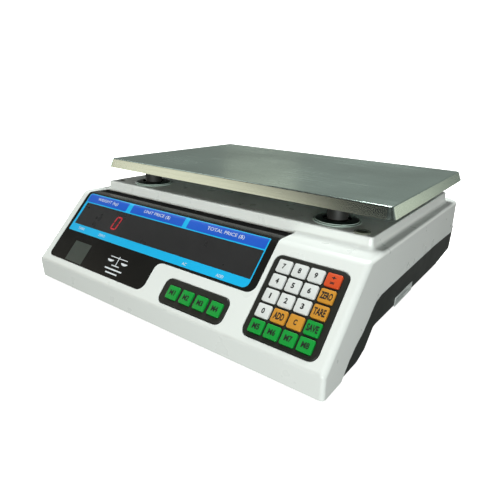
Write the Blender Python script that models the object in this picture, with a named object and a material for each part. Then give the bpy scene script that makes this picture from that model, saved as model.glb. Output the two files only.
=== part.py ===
"""Price-computing counter scale, built from separate solids.

Sizes are in millimetres and become metres as each mesh is made. +X is the
user's right, -Y is the front and +Z is up. The origin is under the middle of
the scale, on the surface that its four feet stand on.
"""

import math

import bmesh
import bpy
from mathutils import Matrix, Vector

MM = 0.001
GAP = 0.3  # left between pieces that touch
FAR = 60.0  # how far a cutter runs past what it cuts

# Housing, which is a white cover over a black base
WIDTH = 348.6
DEPTH = 352.0
WALL = 3.0
FRONT = -DEPTH / 2
BACK = DEPTH / 2
SIDE = WIDTH / 2
FRONT_CORNER = 3.5
BACK_CORNER = 22.0
UNDERSIDE = 3.5  # lowest edge of the cover
LIP_TOP = 24.6
LIP_LEAN = 1.5
SHOULDER_BACK = 86.5
BACK_LEAN = 3.5
BACK_SPLIT = 55.0
BASE_INSET = 1.5
BASE_WALL = 2.5
SEAM_GAP = 0.5
HOLLOW_CORNER = 1.0
PLAN_STEPS = 5

# The line where the cover ends on each side wall, as (y, z)
SEAM = (
    (-145.5, UNDERSIDE),
    (-134.9, 16.4),
    (-124.5, 24.5),
    (-113.0, 30.5),
    (-104.5, 37.5),
    (-97.5, 44.0),
    (-91.0, 49.0),
    (-80.0, 51.2),
    (75.5, 51.5),
    (155.5, 48.5),
    (168.0, 53.0),
    (BACK, BACK_SPLIT),
)
BASE_CLEARANCE = 0.4  # between the base and the cover's front and side walls
BASE_FRONT = FRONT + LIP_LEAN + WALL + BASE_CLEARANCE
BASE_FRONT_TOP = 6.5
BASE_FRONT_CORNER = 2.0
# The underside of the base, as (y, z)
BASE_LINE = (
    (BASE_FRONT, 4.0),
    (-104.5, 4.0),
    (-97.9, 6.4),
    (-84.2, 20.3),
    (-77.5, 20.9),
    (111.5, 17.5),
    (141.5, 19.9),
    (165.0, 24.6),
    (BACK - BASE_INSET, 31.0),
)
BASE_WALL_START = -142.2  # in front of this the cover's own wall reaches the bottom

# Console, the sloped face with the display and the keys
CONSOLE_ANGLE = math.radians(46.17)
CONSOLE_LENGTH = 89.5
BEND_Y = FRONT + CONSOLE_LENGTH * math.cos(CONSOLE_ANGLE)
BEND_Z = LIP_TOP + CONSOLE_LENGTH * math.sin(CONSOLE_ANGLE)

# Raised deck under the platter
DECK_X = 162.8
DECK_FRONT = -86.0
DECK_BACK = 144.5
DECK_Z = 98.0
DECK_CORNER = 3.0
DECK_DRAFT = 1.0
DECK_ROOT = 8.0  # how far the deck block reaches down into the cover
DECK_HOLLOW = 15.0

# Display lens, in console coordinates: x, and s up the slope from the lip
LENS_LEFT = -163.0
LENS_RIGHT = 94.0
LENS_STEP_X = -14.5
LENS_LOW = 7.5
LENS_STEP = 38.7
LENS_END = CONSOLE_LENGTH + 12.2
LENS_GROOVE = 13.8  # how far its pocket runs on behind it, to the foot of the deck
LENS_THICK = 1.6
LENS_SUNK = 0.4
LENS_LEDGE = 4.0
LENS_CORNERS = (5.0, 8.0, 4.0)  # lower left, those of the step, and over the bend

# Digit modules behind the lens
DIGIT_PITCH = 12.7
DIGIT_HEIGHT = 19.0
DIGIT_THICK = 7.8
DIGIT_S = 62.5
MODULES = (("led_weight", -118.4, 5), ("led_unit_price", -47.0, 5), ("led_total_price", 41.0, 6))
BOARD_THICK = 1.6
DISPLAY_BOARD = {"x": (-158.0, 88.0), "s": (46.0, 80.0)}

# Keys. Rows run from the bottom up, and each key from its foot at its flange to its crown
KEY_STEM = 0.6  # clearance round a key, both sides together
KEY_TALL = 1.5
KEY_TRAVEL_ROOM = 1.4
KEY_CORNER = 1.5
KEY_CROWN_INSET = 0.5
KEY_CROWN_CORNER = 1.2
KEY_CROWN_DROP = 0.4
FLANGE = 1.2
FLANGE_TALL = 1.6
PAD_THICK = 2.0
PAD_PROUD = 0.3
PAD_CORNER = 6.5
KEYPAD = {
    "x": (99.0, 164.0),
    "s": (6.5, 77.0),
    "first": (110.4, 15.6),
    "pitch": (14.2, 13.0),
    "key": (12.0, 10.8),
}
KEYPAD_ROWS = (
    ("memory_5", "memory_6", "memory_7", "memory_8"),
    ("digit_0", "add", "clear", "save"),
    ("digit_1", "digit_2", "digit_3", "tare"),
    ("digit_4", "digit_5", "digit_6", "zero"),
    ("digit_7", "digit_8", "digit_9", "accumulate"),
)
MEMORY_PAD = {
    "x": (7.5, 79.0),
    "s": (5.0, 28.4),
    "first": (21.3, 16.3),
    "pitch": (15.9, 0.0),
    "key": (12.0, 12.0),
}
MEMORY_ROWS = (("memory_1", "memory_2", "memory_3", "memory_4"),)
GREEN_KEYS = ("memory", "save")
AMBER_KEYS = ("add", "clear", "tare", "zero")

# Customer's display in the back wall, measured along the wall and up it
REAR_HALF = 110.0
REAR_LOW = 5.0
REAR_HIGH = 27.0
REAR_CORNER = 3.0
REAR_BOARD = (200.0, 19.0)
REAR_BOARD_DEPTH = (-13.0, -11.4)
REAR_DIGITS = (58.0, 13.0)
REAR_DIGITS_X = (-64.0, 0.0, 64.0)

# Weighing platform
PLATTER_X = 350.0
PLATTER_Y = 234.2
PLATTER_CENTRE_Y = 39.3
PLATTER_TOP = 122.5
PLATTER_LIP = 10.0
PLATTER_SHEET = 1.0
PLATTER_CORNERS = (7.0, 3.0)  # at the bottom of the lip, and at the least
# The flared lip and the fold over it, as (inset, height)
PLATTER_FOLD = ((0.0, -PLATTER_LIP), (3.3, -1.9), (3.9, -0.6), (5.3, 0.0))
POSTS = tuple((x, y) for x in (-118.0, 118.0) for y in (-56.5, 125.0))
POST_NAMES = ("front_left", "rear_left", "front_right", "rear_right")
POST_RADIUS = 6.0
POST_TOP = 111.0
POST_FILLET = 2.0
POST_FILLET_TALL = 8.0
POST_HOLE = 12.0
COLLAR_RADIUS = 21.0
COLLAR_DRAFT = 0.8
COLLAR_TOP = 100.5
CUP_RADIUS = 9.5
CUP_DISC = 14.0
CUP_LIFT = 1.4  # between the collar and the cup
CUP_DISC_TALL = 2.6
CUP_CHAMFER = 0.8
FRAME_LOW = 56.0
FRAME_HIGH = 62.0
FRAME_ARM = 10.0  # half the width of an arm
FRAME_BEAM = 16.0  # half the width of the beam across the load cell
CELL_Y = 35.0
CELL_LONG = 130.0
CELL_WIDE = 30.0
CELL_LOW = 28.3
CELL_HIGH = 50.3
CELL_PAD = 32.0  # length of the frame's foot on the cell
CELL_PAD_HALF = 13.0
CELL_TRAVEL = 1.3  # between the frame's foot and the cell, for the platform's travel
CELL_SLOT = 28.0
CELL_SKIN = 4.0
CELL_SLOT_CORNER = 6.5
CELL_MOUNT_LONG = 34.0
CELL_MOUNT_HALF = 17.0

# Feet, screws and stops
FEET = tuple((x, y) for x in (-127.0, 127.0) for y in (-63.5, 136.5))
FOOT_RADIUS = 13.0
FOOT_STEM = 3.0
FOOT_TALL = 34.0
FOOT_BORE = 3.4
FOOT_BOSS = (9.0, 8.0, 22.0)  # radius at the floor and at the top, and height
DECK_SCREWS = (("front_left", -153.0, -75.0), ("rear_left", -153.0, 134.0), ("rear_right", 153.0, 134.0))
SCREW_BORE = 2.1
SCREW_WELL = 4.2
SCREW_SEAT = 1.8  # how far the well goes down from the deck
SCREW_PILLAR = (5.5, 4.5)
PILLAR_BORE = 2.0
PILLAR_BORE_DEEP = 16.0
STOPS = tuple((x, y) for x in (-116.0, 116.0) for y in (-38.0, 108.0))
STOP_PILLAR = (6.0, 5.0)
STOP_CLEARANCE = 1.4
LEVEL = (150.0, -76.5)
LEVEL_BORE = 5.9

# Main board, on its stand-offs
BOARD_X = (15.0, 100.0)
BOARD_Y = (-68.0, 0.0)
BOARD_Z = 27.0
STAND_OFFS = tuple((x, y) for x in (20.0, 95.0) for y in (-63.0, -5.0))
STAND_OFF = (3.5, 3.0)

# Battery compartment, transformer and power entry
BATTERY = ((-100.0, 1.0), (-68.0, 2.0), (23.7, 69.0))
BATTERY_TABS_Y = (-52.0, -14.0)
TRANSFORMER_CORE = ((30.0, 84.0), (83.0, 111.0), (22.0, 67.0))
TRANSFORMER_COIL = ((40.0, 74.0), (75.0, 119.0), (28.0, 61.0))
HATCH_X = (-96.0, -4.0)
HATCH_Y = (-62.0, -2.0)
HATCH_TOP = 26.0
DOOR_LAP = 6.0  # how far the door's plate reaches past the hatch
DOOR_THICK = 2.2
DOOR_CORNER = 3.0
TONGUE_CLEARANCE = 1.0
TONGUE_SHORT = 14.0  # what the tongue lacks at the back, for the door's travel
TONGUE_TALL = 1.6
POCKET_Y = (42.0, 116.0)
POCKET_Z = (23.5, 46.5)
POCKET_X = -168.5
POCKET_RIM = 2.0
POCKET_WALL = 2.5
FLANGE_PLATE = 1.2
INLET_FLANGE = (28.0, 21.0)
INLET_BODY = (24.0, 17.0)
INLET_SOCKET = (20.0, 13.0)
INLET_PIN = (2.0, 4.0)
INLET_PINS = ((-6.0, -2.0), (0.0, 2.0), (6.0, -2.0))
SWITCH_FLANGE = (23.0, 16.5)
SWITCH_BODY = (19.0, 13.0)
SWITCH_WELL = (16.8, 10.6)
PANEL_CLEARANCE = 0.6  # round the inlet's and the switch's bodies, both sides together
ROCKER_HALF = 4.9
ROCKER_PIVOT = (1.2, 5.1)  # radius of its pins, and half their span
ROCKER_SIDE = ((-2.4, -7.6), (-3.2, 0.0), (-2.4, 7.6), (4.6, 5.0), (4.6, -5.0))
INLET_Y = 96.0
SWITCH_Y = 60.0
POWER_Z = 35.0
ROCKER_TILT = math.radians(10.0)
LABEL_Y = (-36.5, 13.5)
LABEL_Z = (21.5, 31.0)
LABEL_THICK = 0.5


# --- outlines -----------------------------------------------------------------


def rounded(corners, steps=3):
    """The outline through corners (u, v, radius), each turned into an arc."""
    outline = []
    for i, (u, v, radius) in enumerate(corners):
        here = Vector((u, v))
        if not radius:
            outline.append(here)
            continue
        before = (Vector(corners[i - 1][:2]) - here).normalized()
        after = (Vector(corners[(i + 1) % len(corners)][:2]) - here).normalized()
        half = before.angle(after) / 2
        centre = here + (before + after).normalized() * radius / math.sin(half)
        reach = radius / math.tan(half)
        start = here + before * reach - centre
        end = here + after * reach - centre
        first = math.atan2(start.y, start.x)
        turn = (math.atan2(end.y, end.x) - first + math.pi) % (2 * math.pi) - math.pi
        for step in range(steps + 1):
            angle = first + turn * step / steps
            outline.append(centre + radius * Vector((math.cos(angle), math.sin(angle))))
    return outline


def rectangle(u, v, radius=0.0, steps=3):
    """A rectangle from u = (low, high) and v = (low, high)."""
    corners = ((u[0], v[0], radius), (u[1], v[0], radius), (u[1], v[1], radius), (u[0], v[1], radius))
    return rounded(corners, steps)


def centred(u, v, wide, tall, radius=0.0, steps=1):
    return rectangle((u - wide / 2, u + wide / 2), (v - tall / 2, v + tall / 2), radius, steps)


def circle(radius, centre=(0.0, 0.0), segments=16):
    angles = (2 * math.pi * i / segments for i in range(segments))
    return [Vector((centre[0] + radius * math.cos(a), centre[1] + radius * math.sin(a))) for a in angles]


def offset(line, distance):
    """An open line moved to its left by distance, with mitred corners."""
    points = [Vector(p) for p in line]
    normals = []
    for a, b in zip(points, points[1:]):
        along = (b - a).normalized()
        normals.append(Vector((-along.y, along.x)))
    moved = []
    for i, point in enumerate(points):
        before = normals[max(i - 1, 0)]
        after = normals[min(i, len(normals) - 1)]
        moved.append(point + (before + after) * distance / (1 + before.dot(after)))
    return moved


def plan_outline(inset, front_corner, back_corner):
    """The housing seen from above."""
    side = SIDE - inset
    front = FRONT + inset
    back = BACK - inset
    corners = (
        (-side, front, front_corner),
        (side, front, front_corner),
        (side, back, back_corner),
        (-side, back, back_corner),
    )
    return rounded(corners, PLAN_STEPS)


def side_outline():
    """The cover from the side, carried down past its lower edge."""
    return [
        (FRONT + LIP_LEAN, -FAR),
        (FRONT + LIP_LEAN, UNDERSIDE),
        (FRONT, LIP_TOP),
        (BEND_Y, BEND_Z),
        (DECK_FRONT, BEND_Z),
        (BACK - BACK_LEAN, SHOULDER_BACK),
        (BACK, BACK_SPLIT),
        (BACK, -FAR),
    ]


def lens_outline(grow=0.0, beyond=0.0):
    """The lens on the unrolled console face, from its left end at the bend round to the same point."""
    left = LENS_LEFT - grow
    right = LENS_RIGHT + grow
    step = LENS_STEP_X + grow
    end = LENS_END + grow + beyond
    low_left, middle, over = LENS_CORNERS
    lower = (
        (left, CONSOLE_LENGTH, 0.0),
        (left, LENS_LOW - grow, low_left + grow),
        (step, LENS_LOW - grow, middle + grow),
        (step, LENS_STEP - grow, middle - grow),
        (right, LENS_STEP - grow, middle + grow),
        (right, CONSOLE_LENGTH, 0.0),
    )
    upper = ((right, end, over), (left, end, over))
    return rounded(lower + upper)


# --- meshes -------------------------------------------------------------------


def along_x(u, v, w):
    return Vector((w, u, v))


def along_y(u, v, w):
    return Vector((u, w, v))


def along_z(u, v, w):
    return Vector((u, v, w))


def add_rings(bm, rings):
    """A closed solid through rings of equal length, capped at both ends."""
    loops = [[bm.verts.new(p) for p in ring] for ring in rings]
    for low, high in zip(loops, loops[1:]):
        for i in range(len(low)):
            j = (i + 1) % len(low)
            bm.faces.new((low[i], low[j], high[j], high[i]))
    bm.faces.new(list(reversed(loops[0])))
    bm.faces.new(loops[-1])


def add_prism(bm, outline, low, high, place=along_z):
    add_rings(bm, [[place(u, v, w) for u, v in outline] for w in (low, high)])


def add_box(bm, x, y, z):
    add_prism(bm, rectangle(x, y), z[0], z[1])


def add_stack(bm, layers, place=along_z):
    """A solid through layers of (outline, height)."""
    add_rings(bm, [[place(u, v, w) for u, v in outline] for outline, w in layers])


def add_turned(bm, profile, centre=(0.0, 0.0), segments=16, place=along_z):
    """A solid of revolution through (radius, height) pairs, capped at both ends."""
    add_stack(bm, [(circle(radius, centre, segments), height) for radius, height in profile], place)


def console_point(x, s, h):
    """A point on the console face: s up the slope and on over the bend, h outwards."""
    if s < CONSOLE_LENGTH:
        y = FRONT + s * math.cos(CONSOLE_ANGLE) - h * math.sin(CONSOLE_ANGLE)
        z = LIP_TOP + s * math.sin(CONSOLE_ANGLE) + h * math.cos(CONSOLE_ANGLE)
        return Vector((x, y, z))
    mitre = h * math.tan(CONSOLE_ANGLE / 2) if s == CONSOLE_LENGTH else 0.0
    return Vector((x, BEND_Y + s - CONSOLE_LENGTH - mitre, BEND_Z + h))


def add_bent_sheet(bm, outline, low, high):
    """A sheet on the console that folds over its top bend."""
    under = [bm.verts.new(console_point(x, s, low)) for x, s in outline]
    over = [bm.verts.new(console_point(x, s, high)) for x, s in outline]
    count = len(outline)
    fold = max(i for i, (x, s) in enumerate(outline) if s == CONSOLE_LENGTH)
    for i in range(count):
        j = (i + 1) % count
        bm.faces.new((under[i], under[j], over[j], over[i]))
    for verts, turned_over in ((over, False), (under, True)):
        for part in (verts[: fold + 1], verts[fold:] + verts[:1]):
            bm.faces.new(part[::-1] if turned_over else part)


def material(name, colour, roughness, metallic=0.0):
    found = bpy.data.materials.get(name)
    if found:
        return found
    made = bpy.data.materials.new(name)
    made.use_nodes = True
    shader = made.node_tree.nodes["Principled BSDF"]
    shader.inputs["Base Color"].default_value = (*colour, 1.0)
    shader.inputs["Roughness"].default_value = roughness
    shader.inputs["Metallic"].default_value = metallic
    return made


def white_plastic():
    return material("white_plastic", (0.74, 0.77, 0.78), 0.35)


def black_plastic():
    return material("black_plastic", (0.02, 0.024, 0.022), 0.5)


def rubber():
    return material("rubber", (0.015, 0.015, 0.015), 0.8)


def steel():
    return material("steel", (0.45, 0.47, 0.46), 0.3, 1.0)


def aluminium():
    return material("aluminium", (0.6, 0.6, 0.6), 0.4, 1.0)


def board_green():
    return material("board_green", (0.03, 0.16, 0.07), 0.5)


def finish(bm, name, look, parent=None, location=(0.0, 0.0, 0.0), turn=None):
    """The named object for a mesh, at a place in millimetres."""
    bmesh.ops.recalc_face_normals(bm, faces=bm.faces)
    bm.transform(Matrix.Scale(MM, 4))
    mesh = bpy.data.meshes.new(name)
    bm.to_mesh(mesh)
    bm.free()
    mesh.materials.append(look)
    mesh.shade_smooth()
    mesh.set_sharp_from_angle(angle=math.radians(35))
    obj = bpy.data.objects.new(name, mesh)
    bpy.context.collection.objects.link(obj)
    obj.parent = parent
    obj.location = Vector(location) * MM
    if turn:
        obj.rotation_euler = turn
    return obj


def tool(bm, name, parent=None):
    """A hidden shape that only cuts or joins."""
    obj = finish(bm, name, material("tool", (1.0, 0.2, 0.2), 0.5), parent)
    obj.hide_render = True
    obj.display_type = "WIRE"
    return obj


def combine(obj, other, operation):
    modifier = obj.modifiers.new(other.name, "BOOLEAN")
    modifier.solver = "EXACT"
    modifier.operation = operation
    modifier.object = other


def empty(name, location, rotation):
    obj = bpy.data.objects.new(name, None)
    bpy.context.collection.objects.link(obj)
    obj.location = Vector(location) * MM
    obj.rotation_euler = rotation
    return obj


# --- housing ------------------------------------------------------------------


def seam_outline(drop):
    """Everything under the cover's edge, lowered by drop, out past both ends."""
    line = [Vector((y, z - drop)) for y, z in SEAM]
    front = Vector((FRONT - FAR, UNDERSIDE - drop))
    back = Vector((BACK + FAR, BACK_SPLIT - drop))
    return [front, *line, back, Vector((BACK + FAR, -FAR)), Vector((FRONT - FAR, -FAR))]


def add_cover_hollow(bm):
    inner = offset(reversed(side_outline()), WALL)
    add_prism(bm, inner, -SIDE + WALL, SIDE - WALL, along_x)


def deck_outline(inset):
    u = (-DECK_X + inset, DECK_X - inset)
    v = (DECK_FRONT + inset, DECK_BACK - inset)
    return rectangle(u, v, DECK_CORNER)


def deck_holes(bm):
    """Round holes through the deck for the posts, the level and the screws."""
    low, high = DECK_Z - DECK_HOLLOW, DECK_Z + DECK_HOLLOW
    for x, y in POSTS:
        add_turned(bm, ((POST_HOLE, low), (POST_HOLE, high)), (x, y), 20)
    add_turned(bm, ((LEVEL_BORE, low), (LEVEL_BORE, high)), LEVEL)
    seat = DECK_Z - SCREW_SEAT
    well = ((SCREW_BORE, low), (SCREW_BORE, seat), (SCREW_WELL, seat), (SCREW_WELL, high))
    for _, x, y in DECK_SCREWS:
        add_turned(bm, well, (x, y), 12)


def pad_outline(pad, grow):
    u = (pad["x"][0] - grow, pad["x"][1] + grow)
    v = (pad["s"][0] - grow, pad["s"][1] + grow)
    return rectangle(u, v, PAD_CORNER + grow)


def rear_lens_outline(grow):
    u = (-REAR_HALF - grow, REAR_HALF + grow)
    v = (REAR_LOW - grow, REAR_HIGH + grow)
    return rectangle(u, v, max(REAR_CORNER + grow, 0.0))


def make_cover(console, rear):
    bm = bmesh.new()
    add_prism(bm, side_outline(), -SIDE, SIDE, along_x)
    cover = finish(bm, "top_housing", white_plastic())

    bm = bmesh.new()
    add_prism(bm, plan_outline(0.0, FRONT_CORNER, BACK_CORNER), -FAR * 2, FAR * 4)
    combine(cover, tool(bm, "cover_plan"), "INTERSECT")

    bm = bmesh.new()
    add_stack(bm, ((deck_outline(-DECK_DRAFT), BEND_Z - DECK_ROOT), (deck_outline(0.0), DECK_Z)))
    combine(cover, tool(bm, "deck"), "UNION")

    bm = bmesh.new()
    collar = ((COLLAR_RADIUS, DECK_Z - WALL / 2), (COLLAR_RADIUS - COLLAR_DRAFT, COLLAR_TOP))
    for post in POSTS:
        add_turned(bm, collar, post, 20)
    combine(cover, tool(bm, "collars"), "UNION")

    bm = bmesh.new()
    add_cover_hollow(bm)
    hollow = tool(bm, "cover_hollow")
    bm = bmesh.new()
    add_prism(bm, plan_outline(WALL, HOLLOW_CORNER, BACK_CORNER - WALL), -FAR * 3, FAR * 5)
    combine(hollow, tool(bm, "hollow_plan"), "INTERSECT")
    combine(cover, hollow, "DIFFERENCE")

    bm = bmesh.new()
    add_prism(bm, deck_outline(WALL), DECK_Z - DECK_HOLLOW * 2, DECK_Z - WALL)
    combine(cover, tool(bm, "deck_hollow"), "DIFFERENCE")

    bm = bmesh.new()
    add_prism(bm, seam_outline(0.0), -SIDE - FAR, SIDE + FAR, along_x)
    combine(cover, tool(bm, "below_seam"), "DIFFERENCE")

    bm = bmesh.new()
    add_bent_sheet(bm, lens_outline(GAP, LENS_GROOVE), -LENS_SUNK - LENS_THICK - GAP, WALL)
    combine(cover, tool(bm, "lens_pocket"), "DIFFERENCE")

    bm = bmesh.new()
    add_bent_sheet(bm, lens_outline(-LENS_LEDGE), -2 * WALL, 0.0)
    combine(cover, tool(bm, "lens_window"), "DIFFERENCE")

    bm = bmesh.new()
    add_prism(bm, pad_outline(KEYPAD, GAP), -2 * WALL, WALL)
    add_prism(bm, pad_outline(MEMORY_PAD, GAP), -2 * WALL, WALL)
    combine(cover, tool(bm, "pad_openings", console), "DIFFERENCE")

    bm = bmesh.new()
    add_prism(bm, rear_lens_outline(GAP), -LENS_SUNK - LENS_THICK - GAP, WALL)
    combine(cover, tool(bm, "rear_lens_pocket", rear), "DIFFERENCE")

    bm = bmesh.new()
    add_prism(bm, rear_lens_outline(-LENS_LEDGE), -2 * WALL, 0.0)
    combine(cover, tool(bm, "rear_lens_window", rear), "DIFFERENCE")

    bm = bmesh.new()
    deck_holes(bm)
    combine(cover, tool(bm, "deck_holes"), "DIFFERENCE")


def base_floor(y):
    """Height of the base's underside at y."""
    for (y0, z0), (y1, z1) in zip(BASE_LINE, BASE_LINE[1:]):
        if y0 <= y <= y1:
            return z0 + (z1 - z0) * (y - y0) / (y1 - y0)
    return BASE_LINE[-1][1]


def add_base_pillars(bm):
    """Foot bosses, screw pillars, board stand-offs and overload stops, rising from the floor."""
    pillars = [(*foot, FOOT_BOSS, base_floor(foot[1]) + FOOT_BOSS[-1], 16) for foot in FEET]
    pillars += [(x, y, SCREW_PILLAR, DECK_Z - WALL - GAP, 12) for _, x, y in DECK_SCREWS]
    pillars += [(*stop, STOP_PILLAR, FRAME_LOW - STOP_CLEARANCE, 12) for stop in STOPS]
    pillars += [(*place, STAND_OFF, BOARD_Z - GAP, 8) for place in STAND_OFFS]
    for x, y, radii, top, segments in pillars:
        add_turned(bm, ((radii[0], base_floor(y) + BASE_WALL / 2), (radii[1], top)), (x, y), segments)


def add_base_bores(bm):
    for x, y in FEET:
        top = base_floor(y) + FOOT_BOSS[-1] - BASE_WALL
        add_turned(bm, ((FOOT_BORE, -FAR), (FOOT_BORE, top)), (x, y), 12)
    for _, x, y in DECK_SCREWS:
        low = DECK_Z - WALL - PILLAR_BORE_DEEP
        add_turned(bm, ((PILLAR_BORE, low), (PILLAR_BORE, DECK_Z + FAR)), (x, y), 12)


def make_base():
    seam_top = seam_outline(SEAM_GAP)[1:-3]
    start = Vector((BASE_WALL_START, BASE_FRONT_TOP))
    wall_top = [p for p in seam_top if p.x > BASE_WALL_START]
    wall_top[-1] = Vector((BACK - BASE_INSET, wall_top[-1].y))
    floor_line = [Vector(p) for p in BASE_LINE]
    bm = bmesh.new()
    outline = [*floor_line, *reversed(wall_top), start, Vector((BASE_FRONT, start.y))]
    add_prism(bm, outline, -SIDE, SIDE, along_x)
    base = finish(bm, "bottom_housing", black_plastic())

    bm = bmesh.new()
    side = SIDE - BASE_INSET
    narrow = SIDE - WALL - BASE_CLEARANCE
    corners = (
        (-narrow, BASE_FRONT, BASE_FRONT_CORNER),
        (narrow, BASE_FRONT, BASE_FRONT_CORNER),
        (narrow, BASE_WALL_START, 0.0),
        (side, BASE_WALL_START, 0.0),
        (side, BACK - BASE_INSET, BACK_CORNER),
        (-side, BACK - BASE_INSET, BACK_CORNER),
        (-side, BASE_WALL_START, 0.0),
        (-narrow, BASE_WALL_START, 0.0),
    )
    add_prism(bm, rounded(corners, PLAN_STEPS), -FAR, FAR * 2)
    combine(base, tool(bm, "base_plan"), "INTERSECT")

    bm = bmesh.new()
    inner_line = offset(floor_line, BASE_WALL)
    inner_line[0] = Vector((BASE_WALL_START + GAP * 2, inner_line[0].y))
    inner_line[-1] = Vector((BACK - BASE_INSET - BASE_WALL, inner_line[-1].y))
    top = [Vector((inner_line[-1].x, FAR * 2)), Vector((inner_line[0].x, FAR * 2))]
    add_prism(bm, [*inner_line, *top], -side + BASE_WALL, side - BASE_WALL, along_x)
    hollow = tool(bm, "base_hollow")
    bm = bmesh.new()
    inset = BASE_INSET + BASE_WALL
    add_prism(bm, plan_outline(inset, HOLLOW_CORNER, BACK_CORNER - BASE_WALL), -FAR * 2, FAR * 3)
    combine(hollow, tool(bm, "base_hollow_plan"), "INTERSECT")
    combine(base, hollow, "DIFFERENCE")

    bm = bmesh.new()
    add_base_pillars(bm)
    rim_y = (POCKET_Y[0] - POCKET_RIM, POCKET_Y[1] + POCKET_RIM)
    rim_z = (POCKET_Z[0] - POCKET_RIM, POCKET_Z[1] + POCKET_RIM)
    add_box(bm, (-side + BASE_WALL / 2, POCKET_X + POCKET_WALL), rim_y, rim_z)
    combine(base, tool(bm, "base_pillars"), "UNION")

    bm = bmesh.new()
    add_base_bores(bm)
    add_box(bm, (-SIDE - FAR, POCKET_X), POCKET_Y, POCKET_Z)
    add_box(bm, HATCH_X, HATCH_Y, (0.0, HATCH_TOP))
    combine(base, tool(bm, "base_openings"), "DIFFERENCE")

    bm = bmesh.new()
    for y, (wide, tall) in ((INLET_Y, INLET_BODY), (SWITCH_Y, SWITCH_BODY)):
        hole = centred(y, POWER_Z, wide + PANEL_CLEARANCE, tall + PANEL_CLEARANCE)
        add_prism(bm, hole, POCKET_X - FAR, POCKET_X + POCKET_WALL * 2, along_x)
    combine(base, tool(bm, "power_openings"), "DIFFERENCE")


# --- console ------------------------------------------------------------------


def make_lens():
    bm = bmesh.new()
    add_bent_sheet(bm, lens_outline(), -LENS_SUNK - LENS_THICK, -LENS_SUNK)
    finish(bm, "display_lens", material("lens", (0.03, 0.032, 0.035), 0.12))


def make_modules(console):
    top = -WALL - GAP
    for name, x, digits in MODULES:
        bm = bmesh.new()
        wide = digits * DIGIT_PITCH
        add_prism(bm, centred(x, DIGIT_S, wide, DIGIT_HEIGHT), top - DIGIT_THICK, top)
        finish(bm, name, material("display_face", (0.03, 0.03, 0.03), 0.4), console)
    bm = bmesh.new()
    board_top = top - DIGIT_THICK - GAP
    outline = rectangle(DISPLAY_BOARD["x"], DISPLAY_BOARD["s"])
    add_prism(bm, outline, board_top - BOARD_THICK, board_top)
    finish(bm, "display_board", board_green(), console)


def key_height():
    """Heights of a key's parts over the console face: foot, flange top, crown edge and crown."""
    flange_top = PAD_PROUD - PAD_THICK - GAP
    crown = PAD_PROUD + KEY_TALL
    return flange_top - FLANGE_TALL, flange_top, crown - KEY_CROWN_DROP, crown


def key_look(name):
    if name.startswith(GREEN_KEYS):
        return material("green_key", (0.01, 0.42, 0.05), 0.45)
    if name in AMBER_KEYS:
        return material("amber_key", (0.6, 0.3, 0.06), 0.45)
    if name == "accumulate":
        return material("red_key", (0.65, 0.09, 0.03), 0.45)
    return material("white_key", (0.75, 0.76, 0.75), 0.45)


def make_keys(pad, rows, console):
    foot, flange_top, edge, crown = key_height()
    wide, tall = pad["key"]
    inset = 2 * KEY_CROWN_INSET
    flange = centred(0.0, 0.0, wide + FLANGE, tall + FLANGE, KEY_CORNER)
    body = centred(0.0, 0.0, wide, tall, KEY_CORNER)
    face = centred(0.0, 0.0, wide - inset, tall - inset, KEY_CROWN_CORNER)
    layers = ((flange, foot), (flange, flange_top), (body, flange_top), (body, edge), (face, crown))
    for row, names in enumerate(rows):
        for column, name in enumerate(names):
            bm = bmesh.new()
            add_stack(bm, layers)
            x = pad["first"][0] + column * pad["pitch"][0]
            s = pad["first"][1] + row * pad["pitch"][1]
            finish(bm, "key_" + name, key_look(name), console, (x, s, 0.0))


def make_pad(name, pad, rows, console):
    bm = bmesh.new()
    add_prism(bm, pad_outline(pad, 0.0), PAD_PROUD - PAD_THICK, PAD_PROUD)
    bezel = finish(bm, name, black_plastic(), console)
    bm = bmesh.new()
    wide, tall = pad["key"]
    for row, names in enumerate(rows):
        for column in range(len(names)):
            x = pad["first"][0] + column * pad["pitch"][0]
            s = pad["first"][1] + row * pad["pitch"][1]
            add_prism(bm, centred(x, s, wide + KEY_STEM, tall + KEY_STEM, KEY_CORNER), -WALL, WALL)
    combine(bezel, tool(bm, name + "_holes", console), "DIFFERENCE")
    make_keys(pad, rows, console)


def make_key_board(console):
    """One L-shaped board behind both key pads."""
    top = key_height()[0] - KEY_TRAVEL_ROOM
    left, right = MEMORY_PAD["x"][0], KEYPAD["x"][1]
    low, step = MEMORY_PAD["s"]
    corners = (
        (left, low, 0.0),
        (right, low, 0.0),
        (right, KEYPAD["s"][1], 0.0),
        (KEYPAD["x"][0], KEYPAD["s"][1], 0.0),
        (KEYPAD["x"][0], step, 0.0),
        (left, step, 0.0),
    )
    bm = bmesh.new()
    add_prism(bm, rounded(corners), top - BOARD_THICK, top)
    finish(bm, "keypad_board", board_green(), console)


def make_rear_display(rear):
    bm = bmesh.new()
    add_prism(bm, rear_lens_outline(0.0), -LENS_SUNK - LENS_THICK, -LENS_SUNK)
    finish(bm, "rear_display_lens", material("lens", (0.03, 0.032, 0.035), 0.12), rear)
    bm = bmesh.new()
    middle = (REAR_LOW + REAR_HIGH) / 2
    add_prism(bm, centred(0.0, middle, *REAR_BOARD), *REAR_BOARD_DEPTH)
    board = finish(bm, "rear_display_board", board_green(), rear)
    bm = bmesh.new()
    for x in REAR_DIGITS_X:
        add_prism(bm, centred(x, middle, *REAR_DIGITS), sum(REAR_BOARD_DEPTH) / 2, -WALL - GAP)
    combine(board, tool(bm, "rear_digits", rear), "UNION")


# --- weighing platform --------------------------------------------------------


def platter_outline(inset):
    half_x = PLATTER_X / 2 - inset
    half_y = PLATTER_Y / 2 - inset
    radius = max(PLATTER_CORNERS[0] - inset, PLATTER_CORNERS[1])
    return rectangle((-half_x, half_x), (-half_y, half_y), radius, 4)


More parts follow.
